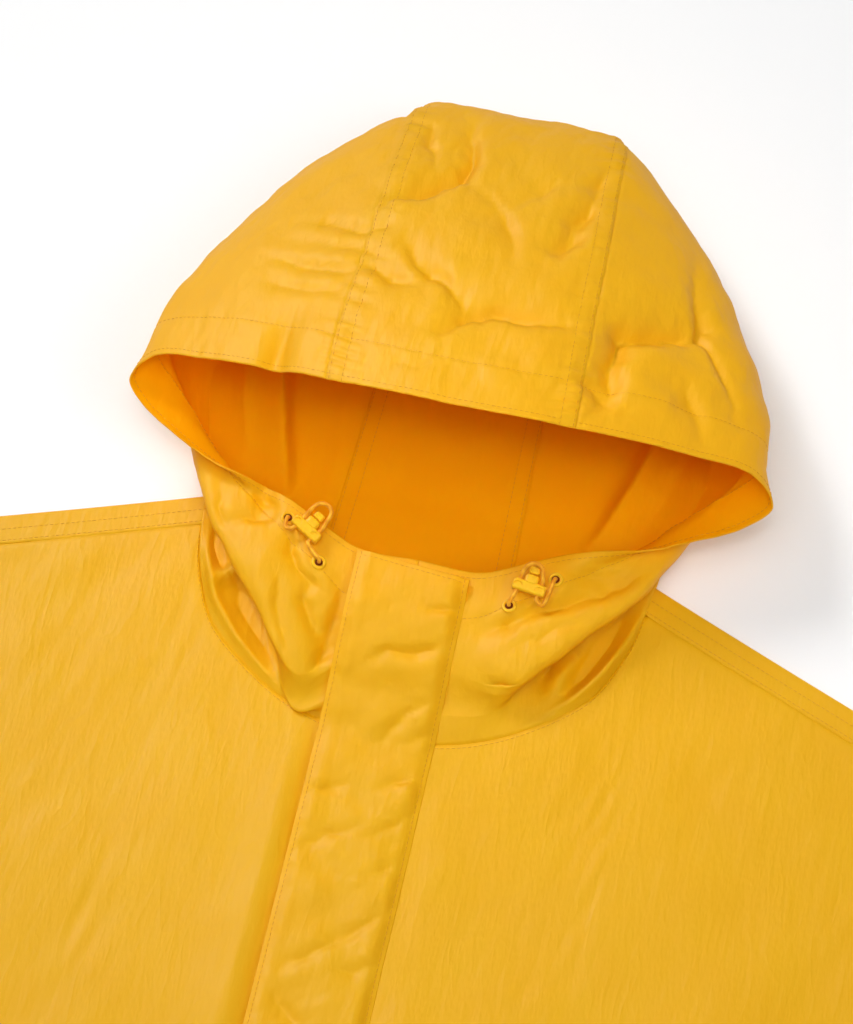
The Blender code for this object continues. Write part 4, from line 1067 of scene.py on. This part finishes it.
FLAP_LEFT = -3.45
FLAP_RIGHT = 3.02
FLAP_TOP_Y = -2.75
FLAP_END_Y = -48.0
FLAP_LIFT = 0.30
FLAP_TILT = 0.42  # the top edge slopes down to the wearer's left
FLAP_WALL = 0.17
FLAP_STITCH = 0.28
FLAP_ROWS = 240
FLAP_COLUMNS = 34
FLAP_BEND_Y = -13.5
FLAP_SLANT = 0.3  # its creases run down to the wearer's right
FREE_EDGE_RISE = 0.22
FLAP_GAIN = 2.7
SEWN_DROP = 0.13  # the seam draws the sewn edge down
FLAP_CREASES = creases(
    (0.35, 0.55, (3.0, -4.6, -0.1), (2.0, -4.9, -0.12), (0.9, -4.6, -0.02)),
    (0.5, 0.8, (3.0, -6.7, -0.06), (1.0, -7.2, -0.16), (-0.6, -6.9, -0.12), (-2.2, -7.6, -0.02)),
    (0.4, 0.8, (3.0, -9.4, -0.06), (1.2, -10.4, -0.1), (-0.4, -12.2, -0.02)),
    (0.35, 0.6, (3.0, -11.3, -0.06), (2.0, -11.9, -0.08), (0.8, -12.0, -0.01)),
    (0.4, 0.5, (-3.2, -14.6, -0.06), (-2.0, -14.2, -0.12), (-0.8, -14.0, -0.01)),
    (0.4, 0.7, (3.0, -13.8, -0.07), (1.6, -14.3, -0.12), (0.2, -14.6, -0.02)),
    (0.5, 0.7, (-3.2, -17.6, -0.03), (-1.6, -17.0, -0.1), (0.4, -16.6, -0.02)),
    (0.4, 0.6, (3.0, -16.0, -0.08), (1.8, -16.8, -0.1), (0.6, -17.4, -0.02)),
    (0.4, 0.5, (3.0, -18.6, -0.08), (2.0, -19.2, -0.09), (1.0, -19.9, -0.01)),
    (0.4, 0.7, (3.0, -21.6, -0.06), (1.0, -22.8, -0.12), (-1.4, -24.2, -0.1), (-2.6, -24.4, -0.02)),
    (0.5, 0.6, (3.0, -24.6, -0.07), (1.6, -25.0, -0.09), (0.2, -24.8, -0.01)),
    (0.5, 0.7, (-3.2, -25.0, -0.03), (-1.4, -27.0, -0.12), (0.4, -28.6, -0.02)),
    (0.4, 0.6, (3.0, -28.4, -0.07), (1.4, -29.2, -0.1), (0.0, -29.4, -0.01)),
    (0.5, 0.6, (3.0, -32.0, -0.07), (0.8, -32.8, -0.11), (-1.4, -33.0, -0.01)),
    (0.4, 0.6, (-3.2, -36.0, -0.05), (-1.2, -35.2, -0.1), (0.6, -35.0, -0.01)),
    (0.5, 0.6, (3.0, -39.0, -0.07), (1.2, -40.2, -0.11), (-0.8, -40.4, -0.01)),
    (0.4, 0.6, (3.0, -44.0, -0.07), (1.4, -44.6, -0.08), (0.0, -44.8, -0.01)),
)

edge_line = section_line(SECTIONS[1])
run = unit((edge_line[2:] - edge_line[:-2])[:, 1:])
profile_y = edge_line[1:-1, 1] + run[:, 1] * FLAP_LIFT
profile_z = edge_line[1:-1, 2] - run[:, 0] * FLAP_LIFT
low_y = np.linspace(FLAP_BEND_Y, FLAP_END_Y, 12)
profile_y = np.concatenate([profile_y, low_y])
profile_z = np.concatenate([profile_z, front_height(0.0 * low_y, low_y) + FLAP_LIFT])
levels = np.linspace(FLAP_TOP_Y, FLAP_END_Y, FLAP_ROWS)
heights = np.interp(levels, profile_y[::-1], profile_z[::-1])
heights[4:-4] = np.convolve(heights, np.ones(9) / 9, mode="valid")
flap_x = np.linspace(FLAP_LEFT, FLAP_RIGHT, FLAP_COLUMNS)[:, None] + 0 * levels[None, :]
flap_y = levels[None, :] + 0 * flap_x
flap_base = np.stack([flap_x, flap_y, heights[None, :] + 0 * flap_x], axis=-1)
off_left = flap_x - FLAP_LEFT
off_right = FLAP_RIGHT - flap_x
off_top = FLAP_TOP_Y - flap_y
flap_base[..., 1] -= FLAP_TILT * ramp(flap_x, FLAP_LEFT, FLAP_RIGHT) * (1 - ramp(off_top, 0.0, 3.0))
flap_body = ramp(off_left, 0.1, 0.9) * ramp(off_right, 0.1, 0.9)
slanted = flap_y - FLAP_SLANT * (flap_x - FLAP_RIGHT) + FOLD_WOBBLE * ripple(flap_base, 133, 0.7, 2.4)
flap_lift = 0.22 + FLAP_GAIN * crease_depth(flap_x, slanted, FLAP_CREASES, narrow=0.5)
flap_lift += FREE_EDGE_RISE * (1 - ramp(off_left, 0.0, 1.4))
flap_lift += (0.05 * ripple(flap_base, 131, 1.6, 5.0)
              + 0.07 * crumple(flap_base, 134, 0.6, 2.2, grain=(0.85, 0.53), stretch=2.5))
flap_lift += 0.05 * pucker(flap_y, off_right, 137, reach=1.1, wave=0.65)
flap_lift += 0.03 * pucker(flap_y, off_left - FLAP_STITCH, 139, reach=0.5, wave=0.7)
flap_lift = flap_lift * (0.15 + 0.85 * flap_body) + 0.06 * (1 - ramp(off_left, 0.1, 0.5))
flap_lift += groove(off_left - FLAP_STITCH) + groove(off_right - FLAP_STITCH)
flap_lift += groove(off_top - FLAP_STITCH)
flap_facing = normals(flap_base)
flap_facing *= np.sign(flap_facing[..., 2:3])
flap_grid = flap_base + flap_facing * flap_lift[..., None]
below = grid_tree([front_base, hood_grid[:, :OUTER_END]])
floor_z = flap_base[..., 2] - FLAP_LIFT
for i, j in np.ndindex(floor_z.shape):
    hit = below.ray_cast(Vector((*flap_base[i, j, :2], 30.0)), Vector((0, 0, -1)))[0]
    floor_z[i, j] = hit.z if hit else floor_z[i, j]
clear = (FLAP_WALL + NYLON_WALL) / 2 + 0.01
flap_grid[..., 2] = np.maximum(flap_grid[..., 2], floor_z + clear)
sewn = (1 - ramp(off_right, 0.05, 0.7)) * ramp(off_top, 0.3, 1.5)
flap_grid[..., 2] += sewn * (floor_z + clear - SEWN_DROP - flap_grid[..., 2])
flap = cloth_piece("cloth_flap", [flap_grid], wall=FLAP_WALL)
flap_edge = flap.modifiers.new("turned_edge", "BEVEL")
flap_edge.width = 0.055 * CM
flap_edge.segments = 2
flap_edge.limit_method = "ANGLE"
flap_edge.angle_limit = math.radians(50)
declare_sheet("placket_flap")

flap_up = normals(flap_grid)
flap_up *= np.sign(flap_up[..., 2:3])
flap_rows = []
for field, across_rows in ((off_left, True), (off_right, True), (off_top, False)):
    spots, ups = trace(field, FLAP_STITCH, flap_grid, flap_up, across_rows)
    kept = spots[:, 0] > FLAP_LEFT + FLAP_STITCH - 0.01
    kept &= spots[:, 0] < FLAP_RIGHT - FLAP_STITCH + 0.01
    flap_rows.append((spots[kept], ups[kept], 1))
stitched("stitches_flap", flap_rows, wall=FLAP_WALL)

# ----------------------------------------------------------
# Cord locks: moulded nylon, a bar with an opening for the cord at each end of its face, a
# stem and a push button. Beside each, two pressed eyelets that the cord comes out of.
# ----------------------------------------------------------

EYELET_OUTER = 0.43
EYELET_INNER = 0.22
EYELET_HEIGHT = 0.13
BAR_LENGTH = 1.9
BAR_DEPTH = 0.62
BAR_HEIGHT = 0.58
STEM_WIDTH = 0.78
STEM_LENGTH = 0.45
BUTTON_LENGTH = 0.42
LOCK_LIFT = 0.62
CHANNEL_OFFSET = 0.62
LOOP_RADIUS = 0.55
LOOP_RISE = 0.35
MOON_RADIUS = 0.25
MOON_DEPTH = 0.13
MOON_Y = -0.09
RIB_PITCH = 0.11
RIB_RISE = 0.02
STEM_TUCK = 0.1  # of the stem into the bar
BUTTON_GAP = 0.04
EYELET_BASE = WALL / 2 + 0.06

moulded = speckled_material("moulded_nylon", 500.0, 4.0, ("f0b40c", "fccb26"), (0.15, 0.0001),
                            Roughness=0.38, Subsurface_Weight=0.15, Subsurface_Scale=0.002)
# Dark brown for the discs in the eyelets' openings: painted shade, since the cloth under them is not cut.
shadow = speckled_material("eyelet_hole_painted_shade", 700.0, 2.0, ("5a1e00", "7a3000"), Roughness=0.9)
cloth_tree = grid_tree([hood_grid[:, :OUTER_END + 1]])


def on_cloth(x, y):
    """Point and upward direction of the hood's upper surface at a place of the plan."""
    spot, facing, _, _ = cloth_tree.ray_cast(Vector((x, y, 30.0)), Vector((0, 0, -1)))
    return np.array(spot), np.array(facing if facing.z > 0 else -facing)


def frame_at(along, facing):
    """Axes of a small piece: along, across and up."""
    x_axis = unit(along - facing * np.dot(along, facing))
    return np.array((x_axis, np.cross(facing, x_axis), facing))


def rounded_block(bm, centre, axes, size, radius, cuts, dent=None):
    """A block with round edges. dent(x, y) sinks its upper face."""
    made = bmesh.ops.create_cube(bm, size=1.0)
    edges = list({edge for vert in made["verts"] for edge in vert.link_edges})
    bmesh.ops.subdivide_edges(bm, edges=edges, cuts=cuts, use_grid_fill=True)
    half = np.array(size) / 2
    fresh = [vert for vert in bm.verts if not vert.tag]
    for vert in fresh:
        vert.tag = True
        local = np.array(vert.co) * size
        core = np.clip(local, radius - half, half - radius)
        on_top = local[2] > half[2] - 0.001
        local = core + unit(local - core) * radius
        if dent and on_top:
            local[2] -= dent(local[0], local[1])
        vert.co = place(centre + local @ axes)


def moons(x, y):
    """The half-round openings near the ends of the bar's face."""
    gap = math.hypot(abs(x) - CHANNEL_OFFSET, y - MOON_Y)
    return MOON_DEPTH * float(gap < MOON_RADIUS and y > MOON_Y)


def ribs(x, y):
    """Grip ribs across the button."""
    return RIB_RISE * (math.cos(2 * math.pi * y / RIB_PITCH) > 0.3)


cord_routes = {}
for lock in LOCKS:
    side = lock.side
    angle = math.radians(lock.bar_angle)
    spot, facing = on_cloth(lock.bar_x, lock.bar_y)
    axes = frame_at(np.array((math.cos(angle), math.sin(angle), 0.0)), facing)
    bar_axis, stem_axis, up = axes
    centre = spot + up * LOCK_LIFT
    stem_centre = centre + stem_axis * (BAR_DEPTH / 2 + STEM_LENGTH / 2 - STEM_TUCK)
    body_bm = bmesh.new()
    rounded_block(body_bm, centre, axes, (BAR_LENGTH, BAR_DEPTH, BAR_HEIGHT), 0.14, 56, moons)
    stem_size = (STEM_WIDTH, STEM_LENGTH + 2 * STEM_TUCK, BAR_HEIGHT * 0.84)
    rounded_block(body_bm, stem_centre, axes, stem_size, 0.16, 8)
    body = finish_mesh("lock_body_" + side, body_bm, moulded)
    stand_for("lock_" + side)
    tip = stem_centre + stem_axis * (STEM_LENGTH / 2 + STEM_TUCK + BUTTON_GAP + BUTTON_LENGTH / 2)
    button_bm = bmesh.new()
    button_size = (STEM_WIDTH * 0.82, BUTTON_LENGTH, BAR_HEIGHT * 0.68)
    rounded_block(button_bm, tip, axes, button_size, 0.12, 24, ribs)
    button = finish_mesh("push_button_" + side, button_bm, moulded)
    stand_for("button_" + side)

    ends = {}
    for level, x, y in (("upper", lock.upper_x, lock.upper_y), ("lower", lock.lower_x, lock.lower_y)):
        at, out = on_cloth(x, y)
        ends[level] = (at, out)
        ring_axes = frame_at(np.array((1.0, 0.0, 0.0)), out)
        base = at + out * EYELET_BASE
        turn = np.linspace(0, 2 * math.pi, 41)[:, None]
        bend = np.linspace(0, math.pi, 10)[None, :]
        middle = (EYELET_OUTER + EYELET_INNER) / 2
        r = middle - np.cos(bend) * (EYELET_OUTER - EYELET_INNER) / 2 + 0 * turn
        z = np.sin(bend) ** 0.7 * EYELET_HEIGHT - 0.09 + 0 * turn
        ring = np.stack([r * np.cos(turn), r * np.sin(turn), z], axis=-1) @ ring_axes + base
        ring_bm = bmesh.new()
        grid_mesh(ring_bm, ring)
        bmesh.ops.remove_doubles(ring_bm, verts=ring_bm.verts[:], dist=0.00001)
        bmesh.ops.recalc_face_normals(ring_bm, faces=ring_bm.faces[:])
        eyelet = finish_mesh("pressed_eyelet_%s_%s" % (side, level), ring_bm, moulded)
        stand_for("eyelet_%s_%s" % (side, level))
        # A dark disc just under the ring, filling its opening: painted shade.
        shade_disc_bm = bmesh.new()
        shade_disc = bmesh.ops.create_circle(shade_disc_bm, cap_ends=True, segments=24, radius=EYELET_INNER + 0.02)
        for vert in shade_disc["verts"]:
            flat = np.array(vert.co)
            vert.co = place(base + flat @ ring_axes - out * 0.05)
        finish_mesh("eyelet_hole_%s_%s" % (side, level), shade_disc_bm, shadow)

    far = 1 if side == "left" else -1
    (upper_at, upper_up), (lower_at, lower_up) = ends["upper"], ends["lower"]
    first = centre + bar_axis * far * CHANNEL_OFFSET
    second = centre - bar_axis * far * CHANNEL_OFFSET
    start = WALL / 2 + 0.09
    clear = BAR_DEPTH / 2 + 0.22
    arch_centre = centre + stem_axis * (BAR_DEPTH / 2 + lock.loop - LOOP_RADIUS) + up * LOOP_RISE
    arch = [arch_centre + (bar_axis * far * math.cos(turn) + stem_axis * math.sin(turn)) * LOOP_RADIUS
            for turn in np.linspace(0.0, math.pi, 5)]
    cord_routes[side] = np.array([
        upper_at + upper_up * start, upper_at + upper_up * (start + 0.2) - stem_axis * 0.05,
        first - stem_axis * (clear + 0.14) + bar_axis * far * 0.42 - up * 0.12,
        first - stem_axis * clear, first, first + stem_axis * clear,
        *arch,
        second + stem_axis * clear, second, second - stem_axis * clear,
        lower_at + lower_up * (start + 0.22), lower_at + lower_up * start,
    ])

# ----------------------------------------------------------
# Cords: braided polyester over rubber, from the upper eyelet through one channel of the
# lock, round a loop and back through the other into the lower eyelet.
# ----------------------------------------------------------

CORD_D = 0.23
CORD_POINTS = 34
BRAID_WAVE = 0.0008  # so the braid repeats every 5.0 mm

braid, braid_tree, braid_shader = new_material("braided_cord", Roughness=0.6, Sheen_Weight=0.1)
braid_place = add_node(braid_tree, "ShaderNodeTexCoord")
braid_waves = [
    add_node(braid_tree, "ShaderNodeTexWave", {"Vector": braid_place.outputs["Object"]},
             {"Scale": 1 / BRAID_WAVE / WAVE_RADIANS, "Distortion": 1.0}, bands_direction=direction)
    for direction in ("X", "Y", "DIAGONAL")]
braid_cross = add_node(braid_tree, "ShaderNodeMath", {0: braid_waves[0].outputs["Fac"],
                       1: braid_waves[1].outputs["Fac"]}, operation="MAXIMUM")
braid_mix = add_node(braid_tree, "ShaderNodeMath", {0: braid_cross.outputs["Value"],
                     1: braid_waves[2].outputs["Fac"]}, operation="MULTIPLY")
# Darker where the braid's relief is low: painted shade in the grooves between its strands.
braid_groove_shade = add_node(braid_tree, "ShaderNodeMix", {"Factor": braid_mix.outputs["Value"]},
                      {"A": srgb("e89a08"), "B": srgb("ffc02c")}, data_type="RGBA")
braid_bump = add_node(braid_tree, "ShaderNodeBump", {"Height": braid_mix.outputs["Value"]},
                      {"Strength": 0.5, "Distance": 0.0002})
braid_tree.links.new(braid_groove_shade.outputs["Result"], braid_shader.inputs["Base Color"])
braid_tree.links.new(braid_bump.outputs["Normal"], braid_shader.inputs["Normal"])

for lock in LOCKS:
    route = cord_routes[lock.side]
    run = np.concatenate([[0.0], np.cumsum(np.linalg.norm(np.diff(route, axis=0), axis=1))])
    line = place(smooth_between(run, route, np.linspace(0.0, run[-1], CORD_POINTS)))
    curve = bpy.data.curves.new("cord_" + lock.side, "CURVE")
    curve.dimensions = "3D"
    curve.bevel_depth = CORD_D / 2 * CM
    curve.bevel_resolution = 4
    curve.use_fill_caps = True
    spline = curve.splines.new("POLY")
    spline.points.add(CORD_POINTS - 1)
    for knot, point in zip(spline.points, line):
        knot.co = (*point, 1.0)
    spline.use_smooth = True
    cord = riding_piece("elastic_cord_" + lock.side, curve, braid)
    stand_for("cord_" + lock.side)
